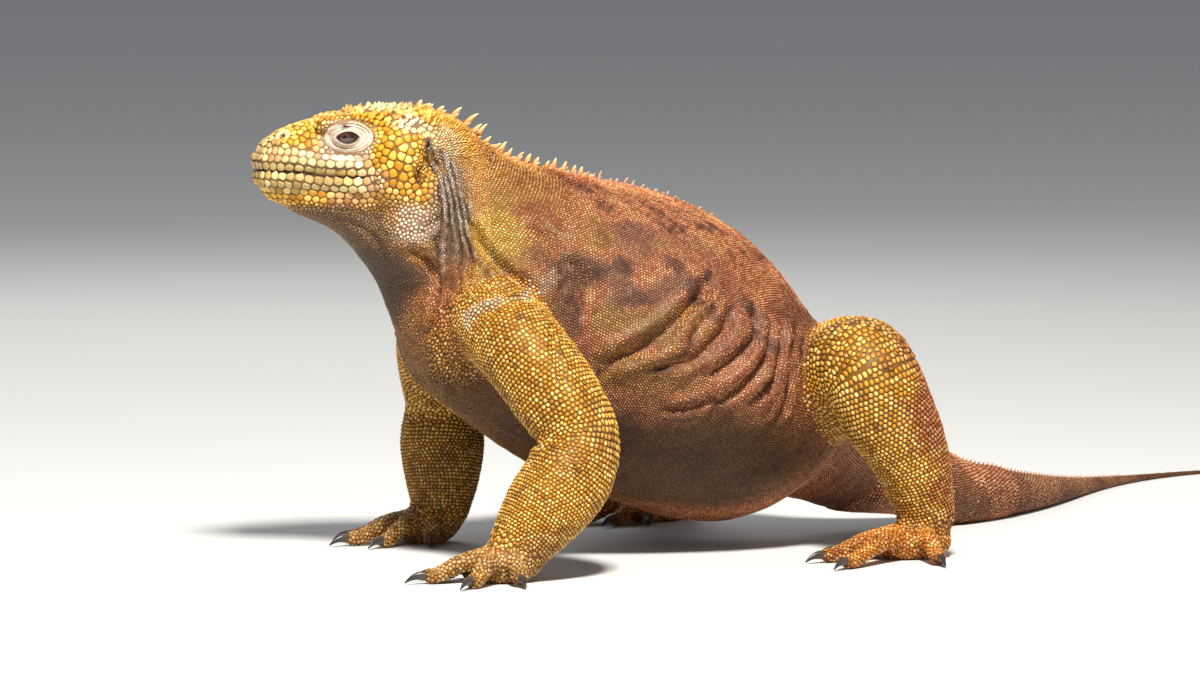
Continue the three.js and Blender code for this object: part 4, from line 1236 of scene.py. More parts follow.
@dataclass
class Skin:
    """One closed skin over the whole body, in place of all the lengths of flesh."""

    body: Body
    voxel: float = 2.8
    swell: float = 0.36
    depth: float = 0.9
    floor: float = 0.15
    points: Array = field(init=False)
    shares: Array = field(init=False)
    parts: Array = field(init=False)
    corners: Array = field(init=False)
    areas: Array = field(init=False)
    middles: Array = field(init=False)
    open_skin: Array = field(init=False)
    tree: BVHTree = field(init=False)

    def flesh_nodes(self) -> list[str]:
        """The frame's nodes that the skin stands for."""
        return sorted(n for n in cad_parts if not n.startswith(("eye", "claw")))

    def raw_mesh(self) -> bpy.types.Mesh:
        """The nodes' merged copies, grown together over their gaps and remeshed evenly."""
        whole = bmesh.new()
        for name in self.flesh_nodes() + ["eye_left", "eye_right"]:
            bm = bmesh.new()
            bm.from_mesh(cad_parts[name].data)
            bmesh.ops.remove_doubles(bm, verts=bm.verts, dist=1e-6)
            bm.normal_update()
            swell = {"tail_tip": 2.0, "tail_rear": 0.9}.get(name, self.swell)
            for v in bm.verts:
                v.co += v.normal * (swell / 1000.0)
            mesh = bpy.data.meshes.new("grown")
            bm.to_mesh(mesh)
            bm.free()
            whole.from_mesh(mesh)
            bpy.data.meshes.remove(mesh)
        mesh = bpy.data.meshes.new("flesh")
        whole.to_mesh(mesh)
        whole.free()
        obj = linked("flesh", mesh)
        remesh = obj.modifiers.new("even", "REMESH")
        remesh.mode = "VOXEL"
        remesh.voxel_size = self.voxel / 1000.0
        remesh.adaptivity = 0.0
        even = bpy.data.meshes.new_from_object(obj.evaluated_get(bpy.context.evaluated_depsgraph_get()))
        bpy.data.objects.remove(obj)
        bpy.data.meshes.remove(mesh)
        return even

    def settle(self, co: Array, edges: Array, rounds: int, level: float, loose: float = 0.5) -> Array:
        """Evens points out and lays them on the body's form, a little under its surface.

        Args:
            co: points in the body's frame.
            edges: pairs of joined points.
            rounds: how many times it is done.
            level: how deep under the form they lie.
            loose: how far each goes towards its neighbours' middle.

        Returns:
            The moved points.
        """
        count = np.bincount(edges.ravel(), minlength=len(co)).astype(float)
        slope = np.zeros_like(co)
        for turn in range(rounds):
            total = np.zeros_like(co)
            for axis in range(3):
                total[:, axis] = np.bincount(edges[:, 0], co[edges[:, 1], axis], len(co))
                total[:, axis] += np.bincount(edges[:, 1], co[edges[:, 0], axis], len(co))
            co = co + (total / np.maximum(count, 1)[:, None] - co) * loose
            value = self.body.distance(co)
            if turn % 2 == 0:
                slope = self.body.slope(co, value)
            size = np.maximum((slope**2).sum(1), 0.3)
            step = np.clip((value + level) / size, -3.0, 3.0)
            co = co - slope * step[:, None]
        return co

    def features(self, co: Array, normal: Array) -> Array:
        """Folds, mouth, nostrils, and the beds of the eyes.

        Args:
            co: the skin's points.
            normal: the way that each faces.

        Returns:
            The moved points.
        """
        lift = np.zeros(len(co))
        bent = wander(co, 1.1)
        for crease in CREASES:
            lift += crease.lift(bent)
        shares = self.body.shares(co)
        trunk = shares[:, Part.TRUNK.value] * smooth(co[:, 2], 30, 70)
        lift += 0.28 * mottle(co, 13, 8) * trunk + 0.16 * mottle(co, 10, 9) * (1 - trunk) * (co[:, 2] > 30)
        h = HEAD.local(co)
        line = lip_height(h[:, 0])
        on_snout = (h[:, 0] < MOUTH_CORNER + 4) & (np.abs(h[:, 2] - line) < 6)
        across = np.abs(h[:, 2] - line) / 0.75
        fade = 1 - smooth(h[:, 0], MOUTH_CORNER - 3, MOUTH_CORNER + 3)
        lift -= np.where(on_snout, 1.5 * fade * np.exp(-across * across), 0)
        co = co + normal * lift[:, None]
        for side in Side:
            at, out = self.nostril(side)
            away = co - at
            across = np.linalg.norm(away - (away @ out)[:, None] * out, axis=1)
            deep = (1 - smooth(across, 1.3, 2.6)) * (np.linalg.norm(away, axis=1) < 6)
            co = co - out * (deep * 1.8)[:, None]
            co = self.eye_bed(co, side)
        co[:, 2] = np.maximum(co[:, 2], self.floor)
        return co

    def nostril(self, side: Side) -> tuple[Array, Array]:
        """Where a nostril opens, and the way that it faces.

        Args:
            side: the head's side.

        Returns:
            The place and the way.
        """
        out = unit(np.array([-0.35, side.value, 0.15])) @ HEAD.axes
        start = HEAD.point(NOSTRIL_BACK, 0, NOSTRIL_UP)
        reach = np.arange(0, 40, 0.1)
        d = self.body.distance(start + reach[:, None] * out)
        at = start + out * reach[np.argmax(d > -self.depth)]
        straight = unit(self.body.slope(at[None], self.body.distance(at[None]))[0])
        return at, unit(straight + 0.4 * out)

    def eye_bed(self, co: Array, side: Side) -> Array:
        """Draws the skin in under an eye.

        Args:
            co: the skin's points.
            side: the head's side.

        Returns:
            The moved points.
        """
        centre = eye_at(side)
        h = (co - centre) @ HEAD.axes.T
        across = np.sqrt((h[:, 0] / 11.6) ** 2 + (h[:, 2] / 7.2) ** 2)
        share = (1 - smooth(across, 0.75, 1.1)) * (h[:, 1] * side.value > 0)
        away = co - centre
        far = np.maximum(np.linalg.norm(away, axis=1, keepdims=True), 1e-6)
        return co + (away / far * 7.3 - away) * share[:, None]

    def make(self) -> bpy.types.Object:
        """Makes the skin's mesh and keeps its points, parts and tree for the coat."""
        raw = self.raw_mesh()
        log.info("flesh grown together: %d points", len(raw.vertices))
        bm = bmesh.new()
        bm.from_mesh(raw)
        bpy.data.meshes.remove(raw)
        self.keep_largest(bm)
        co, edges = self.arrays(bm)
        co = self.settle(co, edges, 4, self.depth, 0.8)
        log.info("skin laid on the form")
        self.store(bm, co)
        for near in (self.on_head, self.on_face):
            chosen = near(co)
            picked = [e for e in bm.edges if chosen[e.verts[0].index] and chosen[e.verts[1].index]]
            bmesh.ops.subdivide_edges(bm, edges=picked, cuts=1, use_grid_fill=True)
            bm.verts.index_update()
            co, edges = self.arrays(bm)
            fresh = near(co) | (np.arange(len(co)) >= len(chosen))
            number = np.cumsum(fresh) - 1
            inside = fresh[edges].all(1)
            co[fresh] = self.settle(co[fresh], number[edges[inside]], 2, self.depth, 0.35)
            self.store(bm, co)
        bmesh.ops.triangulate(bm, faces=bm.faces)
        bm.normal_update()
        normal = np.array([v.normal for v in bm.verts])
        co = self.features(co, normal)
        self.store(bm, co)
        bmesh.ops.recalc_face_normals(bm, faces=bm.faces)
        self.points = co
        self.shares = self.body.shares(co)
        self.parts = np.argmax(self.shares, 1)
        self.tree = BVHTree.FromBMesh(bm)
        self.corners = np.array([[v.index for v in f.verts[:3]] for f in bm.faces])
        self.areas = np.array([f.calc_area() for f in bm.faces])
        self.middles = np.array([f.calc_center_median() for f in bm.faces])
        self.open_skin = self.bare_of_features(self.middles)
        # the bare skin takes the dark gap colour almost wholly: partly its own darker colour and partly painted shade
        rise = self.shade(co)
        obj = piece_from_bmesh("skin", bm)
        give_values(obj.data, "tone", MARKINGS.tone(co, self.shares))
        give_values(obj.data, "rise", rise)
        give_values(obj.data, "chance", np.full(len(co), 0.35))
        return obj

    def bare_of_features(self, p: Array) -> Array:
        """Marks places that may carry scattered scales: not the eyes, ears, nostrils, mouth or soles.

        Args:
            p: places in the body's frame.

        Returns:
            A mark for each.
        """
        h = HEAD.local(p)
        ok = p[:, 2] > 0.6
        for side in Side:
            e = (h - np.array([EYE_BACK, EYE_OUT * side.value, EYE_UP])) * np.array([1 / 12.6, 0, 1 / 7.9])
            ok &= ~(((e**2).sum(1) < 1) & (h[:, 1] * side.value > 8))
            a = (h - np.array([EAR_BACK, EAR_OUT * side.value, EAR_UP])) / np.array([2.4, 9, 7.4])
            ok &= (a**2).sum(1) > 1
            at, _ = self.nostril(side)
            ok &= np.linalg.norm(p - at, axis=1) > 4.3
        off = h[:, 2] - lip_height(h[:, 0])
        mouth = (off < 13.0) & (off > -15.4) & (h[:, 0] < MOUTH_CORNER - 1) & (np.abs(h[:, 1]) < 40)
        return ok & ~mouth

    def shade(self, co: Array) -> Array:
        """How far the bare skin shows its own tone over the dark gap colour, which is partly the darker skin between
        scales and partly painted shade: darker still along the mouth's line, as painted shade in its slit, and a
        little lighter in the nostrils.

        Args:
            co: the skin's points.

        Returns:
            One value a point, 0 for dark and 1 for light.
        """
        rise = np.full(len(co), 0.2)
        h = HEAD.local(co)
        # painted shade in the slit of the mouth
        mouth = (np.abs(h[:, 2] - lip_height(h[:, 0])) < 0.8) & (h[:, 0] < MOUTH_CORNER)
        rise[mouth] = 0.1
        for side in Side:
            at, _ = self.nostril(side)
            rise[np.linalg.norm(co - at, axis=1) < 3.6] = 0.26
        return rise

    @staticmethod
    def on_head(co: Array) -> Array:
        """Points of the head and upper throat."""
        h = HEAD.local(co)
        return (h[:, 0] < 122) & (h[:, 2] > -98) & (np.abs(h[:, 1]) < 60)

    @staticmethod
    def on_face(co: Array) -> Array:
        """Points beside the mouth, nostrils and eyes."""
        h = HEAD.local(co)
        mouth = (np.abs(h[:, 2] - lip_height(h[:, 0])) < 3.2) & (h[:, 0] < MOUTH_CORNER + 4)
        nose = (np.abs(h[:, 0] - NOSTRIL_BACK + 2) < 6) & (np.abs(h[:, 2] - NOSTRIL_UP) < 6)
        ear = (np.abs(h[:, 0] - EAR_BACK) < 8) & (np.abs(h[:, 2] - EAR_UP) < 12)
        folds = (np.abs(h[:, 0] - 105) < 13) & (np.abs(h[:, 2] + 38) < 52) & (np.abs(h[:, 1]) > 22)
        return mouth | nose | ear | folds

    @staticmethod
    def arrays(bm: bmesh.types.BMesh) -> tuple[Array, Array]:
        """The points, in the body's frame, and the edges of a bmesh."""
        bm.verts.index_update()
        co = np.array([v.co for v in bm.verts])
        if np.abs(co).max() < 5:
            co = co * 1000.0 - SHIFT
        return co, np.array([[v.index for v in e.verts] for e in bm.edges])

    @staticmethod
    def store(bm: bmesh.types.BMesh, co: Array) -> None:
        """Writes points back to a bmesh."""
        for v, c in zip(bm.verts, co):
            v.co = c

    @staticmethod
    def keep_largest(bm: bmesh.types.BMesh) -> None:
        """Drops every shell but the largest.

        Args:
            bm: the mesh, which is changed.
        """
        seen: set = set()
        shells = []
        for start in bm.verts:
            if start in seen:
                continue
            shell, heap = [start], [start]
            seen.add(start)
            while heap:
                v = heap.pop()
                for e in v.link_edges:
                    w = e.other_vert(v)
                    if w not in seen:
                        seen.add(w)
                        shell.append(w)
                        heap.append(w)
            shells.append(shell)
        shells.sort(key=len)
        for shell in shells[:-1]:
            bmesh.ops.delete(bm, geom=shell, context="VERTS")


# ---------------------------------------------------------------- the coat


@dataclass
class Seeds:
    """The places of scales, with each one's facing, lie, pitch, height, form and the piece that it goes to."""

    at: Array
    normal: Array
    lie: Array
    pitch: Array
    height: Array
    form: Array
    group: Array
    fixed: Array

    @staticmethod
    def join(many: Sequence["Seeds"]) -> "Seeds":
        """Several lots of seeds as one."""
        return Seeds(*[np.concatenate([getattr(s, k) for s in many]) for k in Seeds.__dataclass_fields__])

    @staticmethod
    def of(at: Array, normal: Array, lie: Array, pitch: Array, height: Array | float, form: Form,
           fixed: bool = False) -> "Seeds":
        """Seeds of one form, not yet given to a piece.

        Args:
            at: their places.
            normal: the way that each faces.
            lie: the way that each points, or one way for all.
            pitch: the distance from each to its neighbours.
            height: how tall each is, or one height for all.
            form: their shape.
            fixed: whether they stay where they are.

        Returns:
            The seeds.
        """
        n = len(at)
        lies, heights = np.broadcast_to(lie, (n, 3)).copy(), np.broadcast_to(height, n).astype(float)
        return Seeds(at, normal, lies, pitch, heights, np.full(n, form.value), np.zeros(n, int), np.full(n, fixed))

    def only(self, keep: Array) -> "Seeds":
        """The seeds that are wanted."""
        return Seeds(*[getattr(self, k)[keep] for k in Seeds.__dataclass_fields__])

    def __len__(self) -> int:
        """How many there are."""
        return len(self.at)


def tree_of(points: Array) -> KDTree:
    """A tree of points, to find the near ones by."""
    tree = KDTree(len(points))
    for i, p in enumerate(points):
        tree.insert(p, i)
    tree.balance()
    return tree


def neighbours(points: Array, count: int) -> Array:
    """The numbers of each point's nearest others."""
    tree = tree_of(points)
    return np.array([[j for _, j, _ in tree.find_n(p, count + 1)] for p in points])[:, 1:]


@dataclass
class Coat:
    """All the scales: where they stand and their meshes."""

    skin: Skin
    seed: int = 5
    rng: np.random.Generator = field(init=False)

    def __post_init__(self) -> None:
        """Starts the source of chance."""
        self.rng = np.random.default_rng(self.seed)

    def on_skin(self, p: Array) -> tuple[Array, Array, Array]:
        """The nearest places on the skin, the way that it faces there, and the faces' numbers."""
        found = [self.skin.tree.find_nearest(q) for q in p.tolist()]
        return np.array([f[0] for f in found]), np.array([f[1] for f in found]), np.array([f[2] for f in found])

    def rings(
        self, tube: Tube, part: Part, step: float, width: float, height: float, form: Form, start: float = 0.0,
        stop: float = 1.0, grow: Optional[Callable[[float], float]] = None,
    ) -> Seeds:
        """Rows of scales round a tube, each row set half a scale off the one before.

        Args:
            tube: the length of body.
            part: its part, on which the scales must lie.
            step: the distance between rows.
            width: the distance between scales in a row.
            height: how tall they are.
            form: their shape.
            start: the share of the tube's length at which the rows start.
            stop: the share at which they stop.
            grow: how their size changes with the share of the length.

        Returns:
            The seeds.
        """
        line = smooth_line(tube.line, 6)[:, :3]
        gone = lengths(line)
        total = gone[-1]
        angles = np.linspace(0, 2 * math.pi, 49)
        at, lie, pitch = [], [], []
        s, row = start * total, 0
        while s < stop * total:
            k = grow(s / total) if grow else 1.0
            centre = read_line(s, gone, line)
            ahead = unit(read_line(s + 2, gone, line) - read_line(s - 2, gone, line))
            side = unit(np.cross(tube.hint, ahead))
            rise = np.cross(ahead, side)
            hits = []
            for a in angles[:-1]:
                way = side * math.sin(a) + rise * math.cos(a)
                found = self.skin.tree.ray_cast(Vector(centre), Vector(way), 140)
                hits.append(np.array(found[0]) if found[0] else centre + way * 1.0)
            hits.append(hits[0])
            hits = np.array(hits)
            round_it = lengths(hits)
            n = max(5, round(round_it[-1] / (width * k)))
            spots = (np.arange(n) + 0.5 * (row % 2)) / n * round_it[-1]
            at.append(read_line(spots, round_it, hits))
            lie.append(np.tile(ahead, (n, 1)))
            pitch.append(np.full(n, math.sqrt(step * width * 1.15) * k))
            s += step * k
            row += 1
        at, lie, pitch = np.concatenate(at), np.concatenate(lie), np.concatenate(pitch)
        places, normals, faces = self.on_skin(at)
        parts = self.skin.parts[self.skin.corners[faces, 0]]
        keep = (parts == part.value) & (np.linalg.norm(places - at, axis=1) < 6)
        tall = height * pitch[keep] / pitch.max()
        return Seeds.of(places[keep], normals[keep], lie[keep], pitch[keep], tall, form)

    def scattered(self, wanted: Array, pitch: Array) -> Seeds:
        """Seeds spread over chosen faces of the skin by a pitch that changes with the place.

        Args:
            wanted: which faces of the skin.
            pitch: the pitch on every face of the skin.

        Returns:
            The seeds, not yet evened out.
        """
        tri, pitch = self.skin.points[self.skin.corners[wanted]], pitch[wanted]
        area = self.skin.areas[wanted]
        weight = area / (pitch**2 * 0.866)
        n = int(weight.sum())
        cut = np.cumsum(weight)
        pick = np.searchsorted(cut, (np.arange(n) + self.rng.random(n)) / n * cut[-1])
        pick = np.minimum(pick, len(tri) - 1)
        a, b = self.rng.random(n), self.rng.random(n)
        over = a + b > 1
        a[over], b[over] = 1 - a[over], 1 - b[over]
        t = tri[pick]
        at = t[:, 0] + (t[:, 1] - t[:, 0]) * a[:, None] + (t[:, 2] - t[:, 0]) * b[:, None]
        at, normal, _ = self.on_skin(at)
        return Seeds.of(at, normal, HEAD.axes[0], pitch[pick], LOOSE_HEIGHT, Form.BEAD)

    def fill(self, seeds: Seeds, room: float = 0.92) -> Seeds:
        """Adds seeds of the nearest one's kind where the rows leave skin bare.

        Args:
            seeds: the rows' seeds.
            room: the share of the pitch beyond which skin counts as bare.

        Returns:
            The old seeds and the new.
        """
        tree = tree_of(seeds.at)
        found = [tree.find(p) for p in self.skin.middles.tolist()]
        near, far = np.array([f[1] for f in found]), np.array([f[2] for f in found])
        bare = (far > seeds.pitch[near] * room) & self.skin.open_skin
        more = self.scattered(bare, seeds.pitch[near] * 0.94)
        twin = np.array([tree.find(p)[1] for p in more.at.tolist()])
        for key in ("lie", "height", "form", "group"):
            setattr(more, key, getattr(seeds, key)[twin])
        return Seeds.join([seeds, more])

    def thin(self, seeds: Seeds, share: float) -> Seeds:
        """Drops seeds that stand too close to an earlier one.

        Args:
            seeds: the seeds.
            share: the share of the pitch that each needs for itself.

        Returns:
            The seeds that stay.
        """
        tree = tree_of(seeds.at)
        gone = np.zeros(len(seeds), bool)
        for i, p in enumerate(seeds.at):
            if gone[i]:
                continue
            for _, j, _ in tree.find_range(p, seeds.pitch[i] * share):
                if j > i and not gone[j]:
                    gone[j] = True
        return seeds.only(~gone)

    def even_out(self, seeds: Seeds, rounds: int, near: int = 7) -> Seeds:
        """Pushes seeds that crowd each other apart, over the skin.

        Args:
            seeds: the seeds, which are moved.
            rounds: how many times it is done.
            near: how many neighbours push each.

        Returns:
            The same seeds.
        """
        for _ in range(rounds):
            idx = neighbours(seeds.at, near)
            away = seeds.at[:, None, :] - seeds.at[idx]
            far = np.maximum(np.linalg.norm(away, axis=2), 1e-6)
            want = (seeds.pitch[:, None] + seeds.pitch[idx]) * 0.53
            push = (np.maximum(want - far, 0) / far * 0.38)[:, :, None] * away
            move = push.sum(1)
            size = np.linalg.norm(move, axis=1, keepdims=True)
            move *= np.minimum(1.0, 0.4 * seeds.pitch[:, None] / np.maximum(size, 1e-6))
            move[seeds.fixed] = 0
            at, normal, _ = self.on_skin(seeds.at + move)
            seeds.at[~seeds.fixed] = at[~seeds.fixed]
            seeds.normal[~seeds.fixed] = normal[~seeds.fixed]
        return seeds

    def mesh_arrays(self, seeds: Seeds, idx: Array, chosen: Array, sides: int, layers: int) -> dict[str, Array]:
        """The points and faces of chosen scales.

        Args:
            seeds: all the seeds.
            idx: their nearest others.
            chosen: the numbers of the seeds to make.
            sides: corners of each scale.
            layers: rings of each scale, 1 to 3.

        Returns:
            Points, faces, rise, chance and the corners' place within the scale.
        """
        c, up = seeds.at[chosen], seeds.normal[chosen]
        lie = seeds.lie[chosen]
        lie = unit(lie - (lie * up).sum(1, keepdims=True) * up)
        side = np.cross(up, lie)
        d = seeds.at[idx[chosen]] - c[:, None, :]
        x, y = (d * side[:, None, :]).sum(2), (d * lie[:, None, :]).sum(2)
        half = (x * x + y * y) / 2
        n = len(c)
        pitch, height, form = seeds.pitch[chosen], seeds.height[chosen], seeds.form[chosen]
        angles = (np.arange(sides) + 0.5) / sides * 2 * math.pi + (self.rng.random(n)[:, None] - 0.5) * 0.3
        reach = np.empty((n, sides))
        for k in range(sides):
            towards = x * np.cos(angles[:, k, None]) + y * np.sin(angles[:, k, None])
            r = np.where(towards > 0.02 * pitch[:, None], half / np.maximum(towards, 1e-6), 1e9)
            reach[:, k] = np.minimum(r.min(1), 0.88 * pitch)
        plate, cone, keel = ((form == f.value)[:, None] for f in (Form.PLATE, Form.CONE, Form.KEEL))
        tight = np.where(plate, 0.975, 0.97 if layers == 1 else 0.95)
        if layers > 1:
            tight = np.where(keel, 0.91, tight)
        reach = np.maximum(reach * tight - 0.03, 0.12 * pitch[:, None])
        profile = PROFILES[layers]
        rings, rises = [], []
        for share, level in profile:
            size = reach * share
            lift = height[:, None] * level * np.ones(sides)
            back = np.zeros((n, 1))
            if 0 < share < 1:
                lift = np.where(plate, lift * 1.15, lift)
                lift = np.where(cone, lift * 0.55, lift)
                size = np.where(cone, size * 0.86, size)
            if share < 0.7:
                back = np.where(cone, 0.32 * pitch[:, None], np.where(keel, 0.22 * pitch[:, None], 0.0))
                lift = np.where(cone & (share == 0.0), height[:, None] * 1.25, lift)
            many = 1 if share == 0.0 else sides
            ca, sa = np.cos(angles[:, :many]), np.sin(angles[:, :many])
            p = c[:, None, :] + side[:, None, :] * (size[:, :many] * ca)[:, :, None]
            p = p + lie[:, None, :] * ((size[:, :many] * sa) + back)[:, :, None]
            p = p + up[:, None, :] * lift[:, :many, None]
            rings.append(p)
            # the foot of each scale gets a low rise, which the finish turns to the dark gap colour: partly the darker
            # skin between scales and partly painted shade
            low = np.where(plate[:, 0], 0.0, -0.15 if layers == 1 else -0.4) if share == 1 else np.full(n, level)
            rises.append(np.repeat(low[:, None], many, 1))
        points = np.concatenate(rings, 1)
        rise = np.concatenate(rises, 1)
        per = points.shape[1]
        faces = []
        for ring in range(layers - 1):
            for k in range(sides):
                a, b = ring * sides + k, ring * sides + (k + 1) % sides
                faces += [[a, b, b + sides], [a, b + sides, a + sides]]
        last = (layers - 1) * sides
        faces += [[last + k, last + (k + 1) % sides, per - 1] for k in range(sides)]
        faces = np.array(faces)[None] + (np.arange(n) * per)[:, None, None]
        spot = np.concatenate(
            [np.stack([np.cos(angles), np.sin(angles)], 2) * s for s, _ in profile[:-1]] + [np.zeros((n, 1, 2))], 1
        )
        chance = np.repeat(self.rng.random(n), per)
        return {
            "points": points.reshape(-1, 3), "faces": faces.reshape(-1, 3), "rise": rise.ravel(), "chance": chance,
            "spot": spot.reshape(-1, 2),
        }


def head_pitch(p: Array) -> Array:
    """The pitch of the head's scales by place.

    Args:
        p: places in the body's frame.

    Returns:
        One pitch a place.
    """
    h = HEAD.local(p)
    s, o, u = h[:, 0], np.abs(h[:, 1]), h[:, 2]
    pitch = np.full(len(p), 3.2)

    def near(back: float, out: float, up: float, reach: tuple[float, float, float], value: float) -> None:
        """Draws the pitch towards a value round a place."""
        r = np.sqrt(((s - back) / reach[0]) ** 2 + ((o - out) / reach[1]) ** 2 + ((u - up) / reach[2]) ** 2)
        pitch[:] += (value - pitch) * (1 - smooth(r, 0.6, 1.15))

    near(4, 6, 6, (16, 18, 16), 3.0)
    near(80, 34, 2, (17, 16, 18), 4.4)
    near(70, 8, 30, (30, 24, 9), 4.6)
    near(62, 28, -6, (12, 14, 9), 2.4)
    near(50, 26, 14, (20, 16, 16), 2.0)
    near(94, 36, 3, (10, 12, 14), 1.8)
    near(31, 20, 13, (9, 10, 8), 3.8)
    pitch[:] += (1.6 - pitch) * smooth(-u, 17, 27)
    near(82, 34, -30, (18, 14, 11), 2.2)
    pitch[:] += (1.35 - pitch) * smooth(s, 96, 102)
    return pitch


@dataclass
class Face:
    """Eyes, lids, nostril rims and the plates of the lips."""

    skin: Skin
    coat: Coat
    edge: tuple[float, float] = (6.6, 3.7)
    margin: tuple[float, float] = (13.4, 8.6)

    def eye(self, side: Side) -> bpy.types.Object:
        """One eyeball with a cornea that stands proud.

        Args:
            side: the head's side.

        Returns:
            The eyeball.
        """
        bm = bmesh.new()
        bmesh.ops.create_uvsphere(bm, u_segments=56, v_segments=40, radius=EYE_RADIUS)
        angle = np.array([math.degrees(math.acos(max(-1, min(1, v.co.normalized().z)))) for v in bm.verts])
        for v, a in zip(bm.verts, angle):
            v.co *= 1 + 0.045 * max(0.0, 1 - (a / 40) ** 2)
        stand(bm, eye_at(side), unit(np.array([-0.22, side.value, 0.02])) @ HEAD.axes)
        obj = piece_from_bmesh(f"eyeball_{side.name.lower()}", bm)
        give_values(obj.data, "gaze", angle / 90.0)
        return obj

    def lid_grid(self, side: Side, around: int, outwards: int) -> tuple[Array, Array]:
        """The places on the lids, row by row round the eye, from the opening's edge to the outer margin.

        Args:
            side: the head's side.
            around: points round the eye.
            outwards: rows from the edge to the margin.

        Returns:
            The places, and how light each is: darker in the furrows of the lids' folds, as painted shade.
        """
        centre = eye_at(side)
        out, back, up = HEAD.axes[1] * side.value, HEAD.axes[0], HEAD.axes[2]
        turn = np.arange(around)[:, None] / around * 2 * math.pi
        share = np.arange(outwards + 1)[None] / outwards
        c, s = np.cos(turn), np.sin(turn)
        inner = (self.edge[0] * c, self.edge[1] * s * (1 - 0.22 * c * c))
        outer = (self.margin[0] * c + 0.8, self.margin[1] * s + 0.3)
        x, y = (a + (b - a) * share for a, b in zip(inner, outer))
        radius = EYE_RADIUS + 0.95 + 0.25 * np.sin(share * 9)
        ball = np.sqrt(np.maximum(radius**2 - x * x - y * y, 0.0))
        start = centre + back * x[..., None] + up * y[..., None]
        reach = np.arange(0, 14, 0.25)
        along = start[:, :, None] + reach[:, None] * out
        d = self.skin.body.distance(along.reshape(-1, 3)).reshape(around, outwards + 1, len(reach))
        head = reach[np.argmax(d > -self.skin.depth, axis=2)]
        k = smooth(share, 0.05, 0.55)
        fold = np.sin(share * 2 * math.pi * 3.2 + 0.4 + 0.8 * c) * np.sin(math.pi * share)
        high = np.maximum(ball * (1 - k) + (head + 0.2) * k, head - 0.1)
        high = high - 0.8 * smooth(share, 0.88, 1.0) + 0.42 * fold
        high -= 0.9 * np.maximum(s, 0) * np.exp(-(((share - 0.72) / 0.1) ** 2))
        # painted shade in the furrows of the lids' folds
        return start + out * high[..., None], 0.72 + 0.28 * fold

    def lids(self, side: Side, around: int = 72, outwards: int = 18) -> tuple[bpy.types.Object, Array]:
        """The two lids as one ring of folded skin round the eye.

        Args:
            side: the head's side.
            around: points round the eye.
            outwards: rows from the edge to the margin.

        Returns:
            The lids, and their grid of places.
        """
        bm = bmesh.new()
        bmesh.ops.create_grid(bm, x_segments=around, y_segments=outwards + 2, size=1.0)
        centre = eye_at(side)
        places, lights = self.lid_grid(side, around, outwards)
        rows = []
        for line, shine in zip(places, lights):
            row = list(zip(line, shine))
            edge = line[0]
            towards = unit(edge - centre)
            inside = centre + towards * (EYE_RADIUS + 0.05)
            inwards = -unit(np.cross(np.cross(towards, HEAD.axes[1] * side.value), towards))
            deep = centre + unit(towards + 0.25 * inwards) * (EYE_RADIUS - 0.5)
            # the lid's rim, tucked in against the eyeball, is darkened as painted shade
            rows.append([(deep, 0.3), (inside, 0.45), *row])
        rows.append(rows[0])
        light = {}
        for v in bm.verts:
            i = round((v.co.x + 1) / 2 * around)
            j = round((v.co.y + 1) / 2 * (outwards + 2))
            p, rise = rows[i][j]
            v.co = p
            light[v.index] = rise
        values = np.array([light[v.index] for v in bm.verts])
        layer = bm.verts.layers.float.new("rise")
        for v, x in zip(bm.verts, values):
            v[layer] = x
        bmesh.ops.remove_doubles(bm, verts=bm.verts, dist=1e-4)
        bmesh.ops.recalc_face_normals(bm, faces=bm.faces)
        if sum(f.normal.dot(Vector(HEAD.axes[1] * side.value)) for f in bm.faces) < 0:
            bmesh.ops.reverse_faces(bm, faces=bm.faces)
        obj = piece_from_bmesh(f"eyelids_{side.name.lower()}", bm)
        count = len(obj.data.vertices)
        give_values(obj.data, "tone", np.tile(linear("#d8c2ae"), (count, 1)))
        give_values(obj.data, "chance", np.full(count, 0.6))
        return obj, places

    def lid_seeds(self, grid: Array, side: Side) -> Seeds:
        """Fine granules in rows round the lids.

        Args:
            grid: the lids' places, row by row.
            side: the head's side.

        Returns:
            The seeds, which stay where they are.
        """
        at, normal, lie, pitch = [], [], [], []
        centre = eye_at(side)
        around, outwards = grid.shape[0], grid.shape[1]
        for row, share in enumerate(np.arange(0.03, 0.98, 0.135)):
            j = share * (outwards - 1)
            a, b = int(j), min(int(j) + 1, outwards - 1)
            ring = grid[:, a] + (grid[:, b] - grid[:, a]) * (j - a)
            ring = np.vstack([ring, ring[:1]])
            gone = lengths(ring)
            size = 0.95 if row == 0 else 1.05
            n = round(gone[-1] / size)
            spots = (np.arange(n) + 0.5 * (row % 2)) / n * gone[-1]
            p = read_line(spots, gone, ring)
            at.append(p)
            away = unit(p - centre)
            normal.append(unit(away * (1 - share * 0.5) + HEAD.axes[1] * side.value * (0.2 + share * 0.6)))
            lie.append(away)
            pitch.append(np.full(n, size))
        at, normal, lie, pitch = (np.concatenate(v) for v in (at, normal, lie, pitch))
        lie = lie + HEAD.axes[0] * 0.05
        return Seeds.of(at, normal, lie, pitch, LID_SCALE_HEIGHT, Form.BEAD, True)

